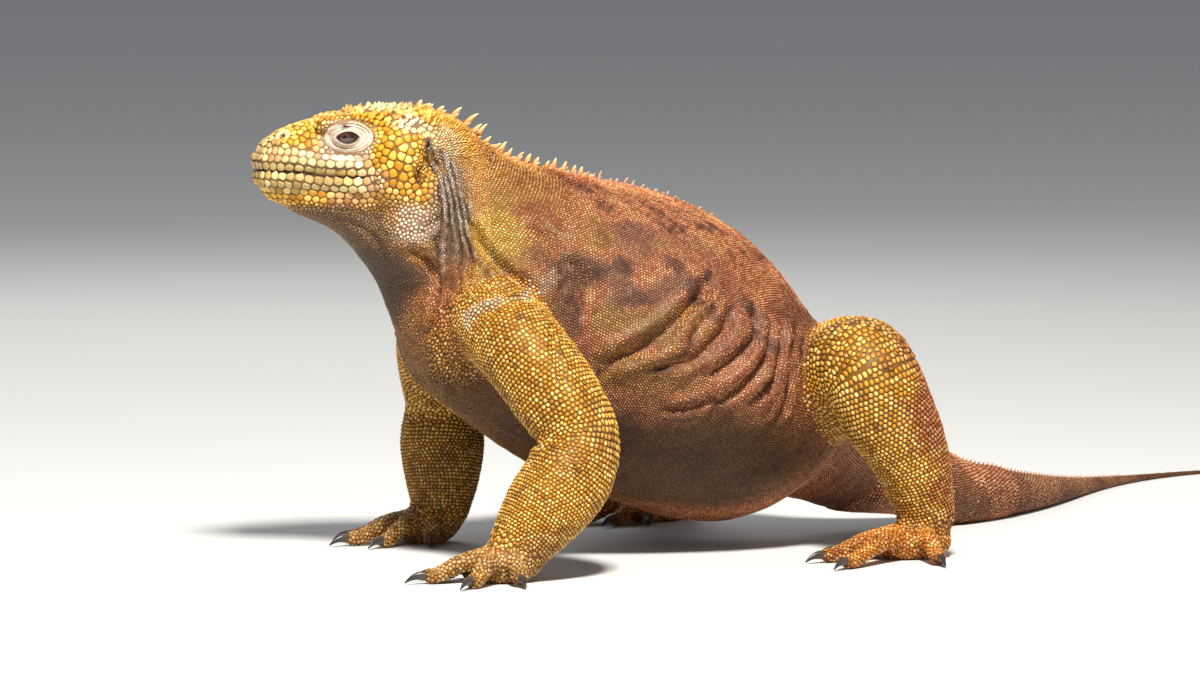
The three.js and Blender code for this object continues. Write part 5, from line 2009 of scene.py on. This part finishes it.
    def lip_seeds(self) -> Seeds:
        """The plates in staggered rows round the snout, above and below the line of the mouth.

        Returns:
            The seeds, which stay where they are.
        """
        at, normal, pitch = [], [], []
        turns = np.linspace(-math.pi / 2, math.pi / 2, 161)
        for row, (above, wide, tall) in enumerate(LIP_ROWS):
            hits = []
            for turn in turns:
                way = np.array([-math.cos(turn), math.sin(turn), 0.0]) @ HEAD.axes
                back = 64 * (1 - max(math.cos(turn), 0.0) ** 0.8)
                for _ in range(2):
                    start = HEAD.point(MOUTH_CORNER + 5, 0, float(lip_height(back)) + above)
                    found = self.skin.tree.ray_cast(Vector(start), Vector(way), 90)
                    back = float(HEAD.local(np.array(found[0])[None])[0, 0])
                hits.append([*found[0], *found[1], back])
            hits = np.array(hits)
            size = wide * (0.68 + 0.32 * smooth(hits[:, 6], 2, 26))
            step = np.linalg.norm(np.diff(hits[:, :3], axis=0), axis=1) / (size[1:] + size[:-1]) * 2
            gone = np.concatenate([[0], np.cumsum(step)])
            spots = np.arange(0.25 + 0.5 * (row % 2), gone[-1], 1.0)
            rows = read_line(spots, gone, hits)
            at.append(rows[:, :3])
            normal.append(unit(rows[:, 3:6]))
            pitch.append(np.interp(spots, gone, size) * 0.5 + tall * 0.5)
        at, normal, pitch = np.concatenate(at), np.concatenate(normal), np.concatenate(pitch)
        at, normal, _ = self.coat.on_skin(at)
        return Seeds.of(at, normal, HEAD.axes[2], pitch, LIP_SCALE_HEIGHT, Form.PLATE, True)

    def nostril_rim(self, side: Side) -> bpy.types.Object:
        """The raised ring of skin round a nostril.

        Args:
            side: the head's side.

        Returns:
            The ring.
        """
        at, out = self.skin.nostril(side)
        bm = bmesh.new()
        verts = [bm.verts.new((r, 0, z)) for r, z in NOSTRIL_PROFILE]
        edges = [bm.edges.new((a, b)) for a, b in zip(verts, verts[1:])]
        bmesh.ops.spin(bm, geom=verts + edges, cent=(0, 0, 0), axis=(0, 0, 1), angle=2 * math.pi, steps=36,
                       use_merge=True)
        for v in bm.verts:
            a = math.atan2(v.co.y, v.co.x)
            v.co.z += 0.18 * math.sin(a * 5 + 1) * (v.co.xy.length / 4 - 0.4)
            v.co.x *= 1.12
        # the rim's inner wall, down into the nostril, is darkened as painted shade
        rise = np.array([0.3 + 0.6 * float(smooth(v.co.xy.length, 1.6, 2.4)) for v in bm.verts])
        stand(bm, at, out)
        bmesh.ops.recalc_face_normals(bm, faces=bm.faces)
        if sum(f.normal.dot(Vector(out)) * f.calc_area() for f in bm.faces) < 0:
            bmesh.ops.reverse_faces(bm, faces=bm.faces)
        obj = piece_from_bmesh(f"nostril_rim_{side.name.lower()}", bm)
        count = len(obj.data.vertices)
        give_values(obj.data, "tone", np.tile(linear("#d9bf8c"), (count, 1)))
        give_values(obj.data, "rise", rise)
        give_values(obj.data, "chance", np.full(count, 0.55))
        return obj


@dataclass
class Horn:
    """Spines and claws: bent cones from rings."""

    sides: int = 8

    def add(self, bm: bmesh.types.BMesh, rings: Sequence[tuple[Array, Array, Array, float, float]]) -> None:
        """Adds one bent cone.

        Args:
            bm: the mesh that it goes into.
            rings: rows of middle, side, rise, half width and half height.
        """
        layer = bm.verts.layers.float.get("along") or bm.verts.layers.float.new("along")
        last = None
        total = len(rings) - 1
        for i, (middle, side, rise, wide, tall) in enumerate(rings):
            made = bmesh.ops.create_circle(bm, cap_ends=False, segments=self.sides, radius=1.0)["verts"]
            for v in made:
                x, y = v.co.x, v.co.y
                v.co = Vector(middle + side * x * wide + rise * y * tall)
                v[layer] = i / total
            edges = list({e for v in made for e in v.link_edges})
            if last:
                bmesh.ops.bridge_loops(bm, edges=last + edges)
            last = edges
        bmesh.ops.contextual_create(bm, geom=made)


@dataclass
class Crest:
    """The row of spines from nape to tail."""

    skin: Skin
    nape_line: Sequence[Sequence[float]] = (
        tuple(HEAD.point(80, 0, 0)), tuple(HEAD.point(94, 0, -6)), tuple(HEAD.point(106, 0, -14)), (10, 2, 200),
        (34, 0, 180), (50, 0, 165),
    )
    back_line: Sequence[Sequence[float]] = (
        (52, 0, 160), (95, 0, 150), (142, 0, 130), (184, 0, 110), (216, 0, 88), (246, 1, 66), (270, 3, 50),
    )

    def feet(self, line: Sequence[Sequence[float]], shares: Array) -> list[tuple[Array, Array, Array]]:
        """Where spines stand: foot, normal and the way back along the body.

        Args:
            line: places under the skin.
            shares: how far along the line each spine stands.

        Returns:
            A row for each.
        """
        rows = smooth_line(line, 12)
        gone = lengths(rows)
        out = []
        for t in shares:
            s = t * gone[-1]
            at = read_line(s, gone, rows)
            ahead = unit(read_line(s + 3, gone, rows) - read_line(s - 3, gone, rows))
            side = unit(np.cross([0, 0, 1], ahead))
            rise = unit(np.cross(ahead, side))
            found = self.skin.tree.ray_cast(Vector(at), Vector(rise), 120)
            out.append((np.array(found[0]) + rise * 0.3, np.array(found[1]), ahead))
        return out

    def spine(self, bm: bmesh.types.BMesh, horn: Horn, foot: Array, normal: Array, back: Array, height: float,
              radius: float, lean: float, aside: float = 0.0) -> None:
        """Adds one spine that leans and curves back.

        Args:
            bm: the mesh that it goes into.
            horn: the maker of cones.
            foot: where it stands.
            normal: the way that the skin faces there.
            back: the way back along the body.
            height: its height.
            radius: its foot's radius.
            lean: how far it leans back.
            aside: its offset from the middle.
        """
        side = unit(np.cross([0, 0, 1], back))
        foot = foot + side * aside
        up = unit(normal + back * lean + side * aside * 0.12)
        rings = []
        for t in (0.0, 0.18, 0.42, 0.68, 0.88, 1.0):
            at = foot - up * 0.8 + up * (height + 0.8) * t + back * height * 0.34 * t * t
            along = unit(up + back * 0.66 * t)
            across = unit(side - (side @ along) * along)
            rise = np.cross(along, across)
            size = radius * (1 - t) ** 0.75 * (1.12 if t < 0.1 else 1.0) + 0.12
            rings.append((at, across, rise, size * 0.62, size))
        horn.add(bm, rings)

    def side_rows(self, bm: bmesh.types.BMesh, horn: Horn, line: Sequence[Sequence[float]], count: int,
                  offsets: Sequence[float], drop: float, draw_one: Callable[[float, float], tuple]) -> None:
        """Adds the small spines beside the middle row.

        Args:
            bm: the mesh that they go into.
            horn: the maker of cones.
            line: the line under the crest.
            count: how many stand in each row.
            offsets: how far each row stands aside.
            drop: how fast the feet go down with the square of that.
            draw_one: gives height, radius, lean and offset from the share of the line and the row's offset.
        """
        shares = (np.arange(count) + 0.5) / count
        for t, (foot, normal, back) in zip(shares, self.feet(line, shares)):
            for aside in offsets:
                self.spine(bm, horn, foot - normal * drop * aside * aside, normal, back, *draw_one(t, aside))

    def nape(self) -> bpy.types.Object:
        """The nape's spines, the longest in the middle row."""
        horn, bm, draw = Horn(7), bmesh.new(), chances(7)
        shares = np.arange(20) / 19
        for t, (foot, normal, back) in zip(shares, self.feet(self.nape_line, shares)):
            height = mix(6.0, 12.0, math.sin(math.pi * mix(0.12, 0.9, t))) * mix(0.5, 1.15, draw())
            radius = 2.4 * mix(0.8, 1.2, draw())
            self.spine(bm, horn, foot, normal, back, height, radius, mix(-0.45, 0.05, draw()), mix(-1.8, 1.8, draw()))

        def draw_one(t: float, aside: float) -> tuple[float, float, float, float]:
            """One small spine's height, radius, lean and offset."""
            return (mix(2.5, 5.8, draw()) * (1.0 if abs(aside) < 5 else 0.65), mix(1.2, 1.8, draw()),
                    mix(-0.3, 0.3, draw()), aside * mix(0.7, 1.3, draw()))

        self.side_rows(bm, horn, self.nape_line, 22, (-6.5, -3.0, 3.0, 6.5), 0.05, draw_one)
        return piece_from_bmesh("nape_spines", bm)

    def back(self) -> bpy.types.Object:
        """The lower spines of the back and of the tail's front half."""
        horn, bm, draw = Horn(7), bmesh.new(), chances(11)
        shares = np.arange(60) / 59
        for t, (foot, normal, back) in zip(shares, self.feet(self.back_line, shares)):
            height = mix(3.6, 6.4, 1 - t) * mix(0.6, 1.15, draw())
            radius = 1.6 * mix(0.85, 1.15, draw())
            self.spine(bm, horn, foot, normal, back, height, radius, mix(-0.3, 0.3, draw()), mix(-0.9, 0.9, draw()))

        def draw_one(t: float, aside: float) -> tuple[float, float, float, float]:
            """One small spine's height, radius, lean and offset."""
            return (mix(2.0, 4.4, draw()) * mix(1.0, 0.6, t) * (1.0 if abs(aside) < 5 else 0.75), 1.15,
                    mix(-0.2, 0.3, draw()), aside * mix(0.6, 1.35, draw()))

        self.side_rows(bm, horn, self.back_line, 84, (-6.2, -3.2, 3.2, 6.2), 0.03, draw_one)
        tail = [r[:3] for r in self.skin.body.tail_rows[:9]]
        shares = np.arange(70) / 72 + 0.02
        for t, (foot, normal, back) in zip(shares, self.feet(tail, shares)):
            height = mix(3.0, 1.6, t) * mix(0.8, 1.1, draw())
            self.spine(bm, horn, foot, normal, back, height, mix(1.5, 0.9, t), 0.5)
        return piece_from_bmesh("back_spines", bm)


@dataclass
class Claws:
    """The twenty hooked claws."""

    length: float = 10.5
    radius: float = 2.7
    tip: float = 0.35
    lift: float = 0.7

    def make(self) -> bpy.types.Object:
        """All the claws as one piece."""
        bm = bmesh.new()
        horn = Horn(12)
        for limb in LIMBS:
            for digit in limb.digits():
                line = digit.tube().line
                end = line[-1]
                way = digit.direction
                side = np.cross([0, 0, 1], way)
                rings = []
                for t in (-0.14, 0.0, 0.14, 0.3, 0.46, 0.62, 0.76, 0.88, 0.96, 1.0):
                    s = max(t, 0)
                    at = np.array([end[0], end[1], 0]) + way * (0.3 + self.length * t)
                    at[2] = mix(end[2] + 0.6, self.lift + self.tip, s**1.8) + 0.5 * math.sin(math.pi * s)
                    along = unit(way + np.array([0, 0, -s * 0.9]))
                    rise = np.cross(along, side)
                    size = mix(self.radius, self.tip, s**1.3)
                    rings.append((at, side, rise, size * 0.72, size * (1.0 if t > 0 else 0.9)))
                horn.add(bm, rings)
        bmesh.ops.recalc_face_normals(bm, faces=bm.faces)
        return piece_from_bmesh("claws", bm)


# ---------------------------------------------------------------- studio


@dataclass(frozen=True)
class Studio:
    """The camera at the photograph's angle, the lights and the floor."""

    azimuth: float = -35.0
    elevation: float = 4.5
    lens: float = 200.0
    sensor: float = 36.0
    scale: float = 0.565
    target: tuple[float, float, float] = (100.0, 0.0, 121.6)
    photo_width: float = 1200.0
    sky: tuple[float, float, float, float] = (0.9, 0.93, 1.0, 1.0)
    lamps: tuple[tuple, ...] = (
        ("key", (-1.1, -1.5, 2.3), (0.0, 0.0, 0.12), 0.4, 156, (1.0, 0.97, 0.9)),
        ("fill", (1.6, -1.6, 0.9), (0.0, 0.0, 0.1), 1.6, 3, (0.93, 0.96, 1.0)),
        ("back", (0.5, 1.8, 1.5), (0.0, 0.0, 0.1), 1.2, 12, (1.0, 1.0, 1.0)),
    )

    def camera(self) -> None:
        """Makes the camera."""
        a, e = math.radians(self.azimuth), math.radians(self.elevation)
        right = np.array([math.cos(a), math.sin(a), 0])
        back = np.array([math.sin(a) * math.cos(e), -math.cos(a) * math.cos(e), math.sin(e)])
        up = np.cross(back, right)
        far = self.lens / self.sensor * self.photo_width * self.scale
        at = to_world(np.array(self.target) + back * far)
        data = bpy.data.cameras.new("camera")
        data.lens, data.sensor_width = self.lens, self.sensor
        data.clip_end = 300
        obj = linked("camera", data)
        obj.matrix_world = Matrix([[right[i], up[i], back[i], at[i]] for i in range(3)] + [[0, 0, 0, 1]])
        bpy.context.scene.camera = obj

    def lamp(self, name: str, at: tuple[float, float, float], aim: tuple[float, float, float], size: float,
             power: float, colour: tuple[float, float, float]) -> None:
        """Makes one soft square lamp."""
        data = bpy.data.lights.new(name, "AREA")
        data.size, data.energy, data.color = size, power, colour
        obj = linked(name, data)
        obj.location = at
        obj.rotation_euler = (Vector(aim) - Vector(at)).to_track_quat("-Z", "Y").to_euler()

    def make(self) -> None:
        """Sets up the whole studio."""
        self.camera()
        for lamp in self.lamps:
            self.lamp(*lamp)
        world = bpy.data.worlds.new("studio")
        world.use_nodes = True
        Nodes(world.node_tree).fill(world.node_tree.nodes["Background"], {"Color": self.sky, "Strength": 0.26})
        bpy.context.scene.world = world
        bpy.context.scene.view_settings.view_transform = "Standard"
        bm = bmesh.new()
        bmesh.ops.create_grid(bm, x_segments=1, y_segments=1, size=60.0)
        mesh = bpy.data.meshes.new("floor")
        bm.to_mesh(mesh)
        bm.free()
        material, nodes, shader = new_material("pale_floor")
        nodes.fill(shader, {"Base Color": (0.66, 0.66, 0.65, 1), "Roughness": 0.8})
        mesh.materials.append(material)
        linked("floor", mesh)


# ---------------------------------------------------------------- the whole animal


@dataclass
class Iguana:
    """Puts the animal together."""

    body: Body = field(default_factory=Body)
    patch_size: float = 0.0015

    def head_seeds(self, coat: Coat, face: Face, grids: dict[Side, Array]) -> Seeds:
        """The head's polygonal scales, evened out round the lips' plates and the lids' granules.

        Args:
            coat: the coat.
            face: the maker of lids and lips.
            grids: the lids' places by side.

        Returns:
            The seeds of the head's piece.
        """
        skin = coat.skin
        h = HEAD.local(skin.middles)
        part = skin.parts[skin.corners[:, 0]]
        wanted = np.isin(part, [Part.HEAD.value, Part.THROAT.value, Part.NECK.value]) & (h[:, 0] < 128)
        head = coat.scattered(wanted & skin.open_skin, head_pitch(skin.middles))
        h = HEAD.local(head.at)
        crown = (h[:, 2] > 21) & (h[:, 0] > 50) & (h[:, 0] < 98)
        head.form = np.where(crown & (coat.rng.random(len(head)) < 0.85), Form.CONE.value, head.form)
        head.height = 0.17 * head.pitch + 0.2
        head.height = np.where(crown, 2.1 + 1.3 * coat.rng.random(len(head)), head.height)
        nape = (h[:, 0] > 98) & (h[:, 2] > 4)
        head.form = np.where(nape, Form.CONE.value, head.form)
        head.height = np.where(nape, 1.5, head.height)
        lids = [face.lid_seeds(grids[side], side) for side in Side]
        seeds = coat.even_out(coat.thin(Seeds.join([face.lip_seeds(), *lids, head]), 0.55), 14)
        return seeds.only(seeds.fixed | skin.bare_of_features(seeds.at))

    def coat_seeds(self, coat: Coat, face: Face, grids: dict[Side, Array]) -> tuple[Seeds, list[str]]:
        """Every scale's place, and the names of the pieces that they go to.

        Args:
            coat: the coat.
            face: the maker of lids and lips.
            grids: the lids' places by side.

        Returns:
            The seeds and the names.
        """
        skin, body = coat.skin, self.body
        lots: list[tuple[Seeds, str]] = [(self.head_seeds(coat, face, grids), "head")]
        log.info("head seeded")
        lots.append((coat.rings(body.neck, Part.NECK, 1.5, 1.6, 0.8, Form.KEEL, 0.35), "torso"))
        lots.append((coat.rings(body.trunk_tube, Part.TRUNK, 1.45, 1.6, 0.85, Form.KEEL), "torso"))
        lots.append((coat.rings(body.rump, Part.TRUNK, 1.5, 1.6, 0.85, Form.KEEL), "torso"))
        lots.append((coat.rings(body.tail, Part.TAIL, 2.6, 2.4, 0.9, Form.KEEL, 0.0, 0.995,
                                lambda t: mix(1.0, 0.5, t)), "tail"))
        part = skin.parts[skin.corners[:, 0]]
        for i, limb in enumerate(LIMBS):
            end = "arm" if "hand" in limb.name else "leg"
            name = f"{end}_{limb.side.name.lower()}"
            step, width = (2.15, 2.6) if end == "arm" else (2.3, 2.9)
            lots.append((coat.rings(body.flesh[i], limb.part, step, width, 1.0, Form.KEEL, 0.0, 1.0,
                                    lambda t: mix(0.85, 1.08, math.sin(math.pi * min(1.0, t * 1.15)))), name))
            for toe in body.toes[i]:
                lots.append((coat.rings(toe, limb.end_part, 1.8, 2.6, 0.5, Form.PLATE, 0.2, 1.04), name))
            mine = np.flatnonzero((part == limb.end_part.value) & skin.open_skin)
            p = skin.middles[mine]
            toes = np.minimum.reduce([t.distance(p) for t in body.toes[i]])
            wanted = np.zeros(len(part), bool)
            wanted[mine[body.palms[i].distance(p) < toes + 2]] = True
            palm = coat.scattered(wanted, np.full(len(part), 2.1))
            lots.append((palm, name))
        log.info("rows laid")
        names = sorted({name for _, name in lots})
        for seeds, name in lots:
            seeds.group[:] = names.index(name)
        everything = coat.thin(Seeds.join([s for s, _ in lots]), 0.66)
        ridge = self.near_ridge(everything.at)
        torso = everything.group == names.index("torso")
        everything.form = np.where(torso & (ridge > 0.35), Form.CONE.value, everything.form)
        everything.height = np.where(torso, everything.height * (1 + 1.1 * ridge), everything.height)
        loose = coat.rng.normal(size=(len(everything), 3)) * everything.pitch[:, None] * 0.09
        everything.at = everything.at + np.where(everything.fixed[:, None], 0.0, loose)
        everything = coat.thin(coat.fill(everything), 0.6)
        return coat.even_out(everything, 2), names

    @staticmethod
    def near_ridge(p: Array) -> Array:
        """How near places are to the crest along nape and back."""
        top = np.interp(p[:, 0], (-30, 0, 50, 100, 150, 200, 250), (262, 240, 218, 210, 190, 150, 95))
        return (1 - smooth(np.abs(p[:, 1]), 8, 34)) * smooth(p[:, 2], top - 40, top - 12)

    def bake_map(self, at: Array, parts: Array) -> Array:
        """Each scale's own place on its piece's bake map, from an unwrap of the skin's form.

        Args:
            at: the scales' places.
            parts: the length of body under each.

        Returns:
            One place on the map for each scale.
        """
        out = np.zeros((len(at), 2))
        h = HEAD.local(at)
        for part in np.unique(parts):
            mine = parts == part
            if part in (Part.HEAD.value, Part.THROAT.value, Part.NECK.value):
                u = (h[mine, 0] + 15) / 190
                v = np.arctan2(h[mine, 1], h[mine, 2] + 20) / (2 * math.pi) + 0.5
            else:
                tube = self.tube_of(Part(part))
                line = tube.line[:, :3]
                near = np.argmin(np.linalg.norm(at[mine][:, None] - line[None], axis=2), 1)
                nearest = line[near]
                ahead = unit(line[np.minimum(near + 1, len(line) - 1)] - line[np.maximum(near - 1, 0)])
                side = unit(np.cross(tube.hint, ahead))
                rise = np.cross(ahead, side)
                off = at[mine] - nearest
                u = (near + 0.5 + np.clip((off * ahead).sum(1) / 12, -0.5, 0.5)) / len(line)
                v = np.arctan2((off * side).sum(1), (off * rise).sum(1)) / (2 * math.pi) + 0.5
            out[mine] = np.column_stack([u, v])
        out = np.clip(out, 0.01, 0.99)
        out[:, 1] = (parts + out[:, 1]) / len(Part)
        return out

    def tube_of(self, part: Part) -> Tube:
        """The tube that a part of the body follows."""
        if part == Part.TAIL:
            return self.body.tail
        for i, limb in enumerate(LIMBS):
            if part in (limb.part, limb.end_part):
                return self.body.flesh[i]
        return self.body.trunk_tube

    def dress(self, coat: Coat, seeds: Seeds, names: list[str], materials: dict[str, bpy.types.Material]) -> None:
        """Makes the coat's pieces.

        Args:
            coat: the coat.
            seeds: every scale's place.
            names: the pieces' names.
            materials: a material for each slot.
        """
        idx = neighbours(seeds.at, 10)
        shares = self.body.shares(seeds.at)
        parts = np.argmax(shares, 1)
        tones = MARKINGS.tone(seeds.at, shares)
        slots = {"head": "head_skin", "torso": "rust_skin", "tail": "rust_skin"}
        for k, name in enumerate(names):
            mine = np.flatnonzero(seeds.group == k)
            order = mine[np.argsort(seeds.at[mine, 0], kind="stable")]
            kind = (seeds.pitch[order] > SMALL_PITCH).astype(int) + (seeds.pitch[order] > LARGE_PITCH)
            cuts = ((6, 1), (6, 2), (8, 3) if name == "head" else (7, 2))
            cost = np.cumsum(np.array([a * (2 * b - 1) for a, b in cuts])[kind])
            split = max(1, math.ceil(cost[-1] / PIECE_TRIANGLES))
            chunk_of = np.minimum((cost / (cost[-1] + 1) * split).astype(int), split - 1)
            for n in range(split):
                lots = []
                total = 0
                for j, (sides, layers) in enumerate(cuts):
                    chunk = order[(chunk_of == n) & (kind == j)]
                    if not len(chunk):
                        continue
                    a = coat.mesh_arrays(seeds, idx, chunk, sides, layers)
                    per_point = len(a["points"]) // len(chunk)
                    a["faces"] = a["faces"] + total
                    middle = self.bake_map(seeds.at[chunk], parts[chunk])
                    a["uv"] = np.repeat(middle, per_point, 0) + a["spot"] * self.patch_size
                    a["tone"] = np.repeat(tones[chunk], per_point, 0)
                    total += len(a["points"])
                    lots.append(a)
                whole = {key: np.concatenate([a[key] for a in lots]) for key in lots[0]}
                points = self.part_lips(whole["points"]) if name == "head" else whole["points"]
                points[:, 2] = np.maximum(points[:, 2], 0.02)
                label = f"coat_{name}" + (f"_{n + 1}" if split > 1 else "")
                obj = piece_from_arrays(label, points, whole["faces"],
                                        {key: whole[key] for key in ("tone", "rise", "chance")}, whole["uv"])
                slot = slots.get(name, "golden_skin")
                place(obj, slot, materials[slot])

    @staticmethod
    def part_lips(p: Array) -> Array:
        """Keeps the lips' plates clear of the line of the mouth.

        Args:
            p: the points of the head's scales.

        Returns:
            The moved points.
        """
        h = HEAD.local(p)
        line = lip_height(h[:, 0])
        off = h[:, 2] - line
        near = (np.abs(off) < 0.5) & (h[:, 0] < MOUTH_CORNER)
        push = np.where(near, np.sign(off) * 0.5 - off, 0)
        p = p.copy()
        p[:, 2] += push
        return p

    def make(self) -> None:
        """Makes every piece in order."""
        group = scale_colour_group()
        finishes = (
            # the gap colours here are the dark between and low on the scales, partly the darker skin there and partly
            # painted shade in the crevices; the bare skin takes them almost wholly
            ScaleFinish("skin_between_scales", "rust_skin", "#22140c", 0.3, 0.5, 0.3, 0.3),
            ScaleFinish("head_scales", "head_skin", "#4a3018", 0.15, 0.75, 0.3, 0.45),
            ScaleFinish("rust_scales", "rust_skin", "#1e110c", 0.6, 0.1, 0.25, 0.3),
            ScaleFinish("golden_scales", "golden_skin", "#1e1208", 0.3, 0.1, 0.3, 0.4),
            ScaleFinish("lid_skin", "head_skin", "#4a3018", 0.1, 0.9, 0.3, 0.4),
        )
        made = {f.name: f.material(group) for f in finishes}
        by_slot = {f.slot: made[f.name] for f in finishes[1:4]}
        skin = Skin(self.body)
        obj = skin.make()
        place(obj, "rust_skin", made["skin_between_scales"], skin.flesh_nodes())
        coat = Coat(skin)
        face = Face(skin, coat)
        grids = {}
        for side in Side:
            name = side.name.lower()
            place(face.eye(side), "eye", EyeFinish().material(), [f"eye_{name}"])
            lids, grids[side] = face.lids(side)
            place(lids, "head_skin", made["lid_skin"])
            place(face.nostril_rim(side), "head_skin", made["lid_skin"])
        seeds, names = self.coat_seeds(coat, face, grids)
        log.info("%d scales", len(seeds))
        self.dress(coat, seeds, names, by_slot)
        crest = Crest(skin)
        nape, back = crest.nape(), crest.back()
        place(nape, "head_skin", HornFinish("nape_horn", "#c07c28", "#f0d8a0", 0.5, 0.35, 0.95).material())
        place(back, "rust_skin", HornFinish("back_horn", "#84442a", "#d8a47c", 0.55).material())
        claws = sorted(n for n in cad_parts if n.startswith("claw"))
        place(Claws().make(), "claw_horn", HornFinish("claw_horn", "#4a4038", "#232225", 0.32).material(), claws)


def main() -> None:
    """Builds the studio and the animal."""
    logging.basicConfig(level=logging.INFO, format="%(relativeCreated)7d %(message)s")
    Studio().make()
    Iguana().make()


if __name__ == "__main__":
    main()
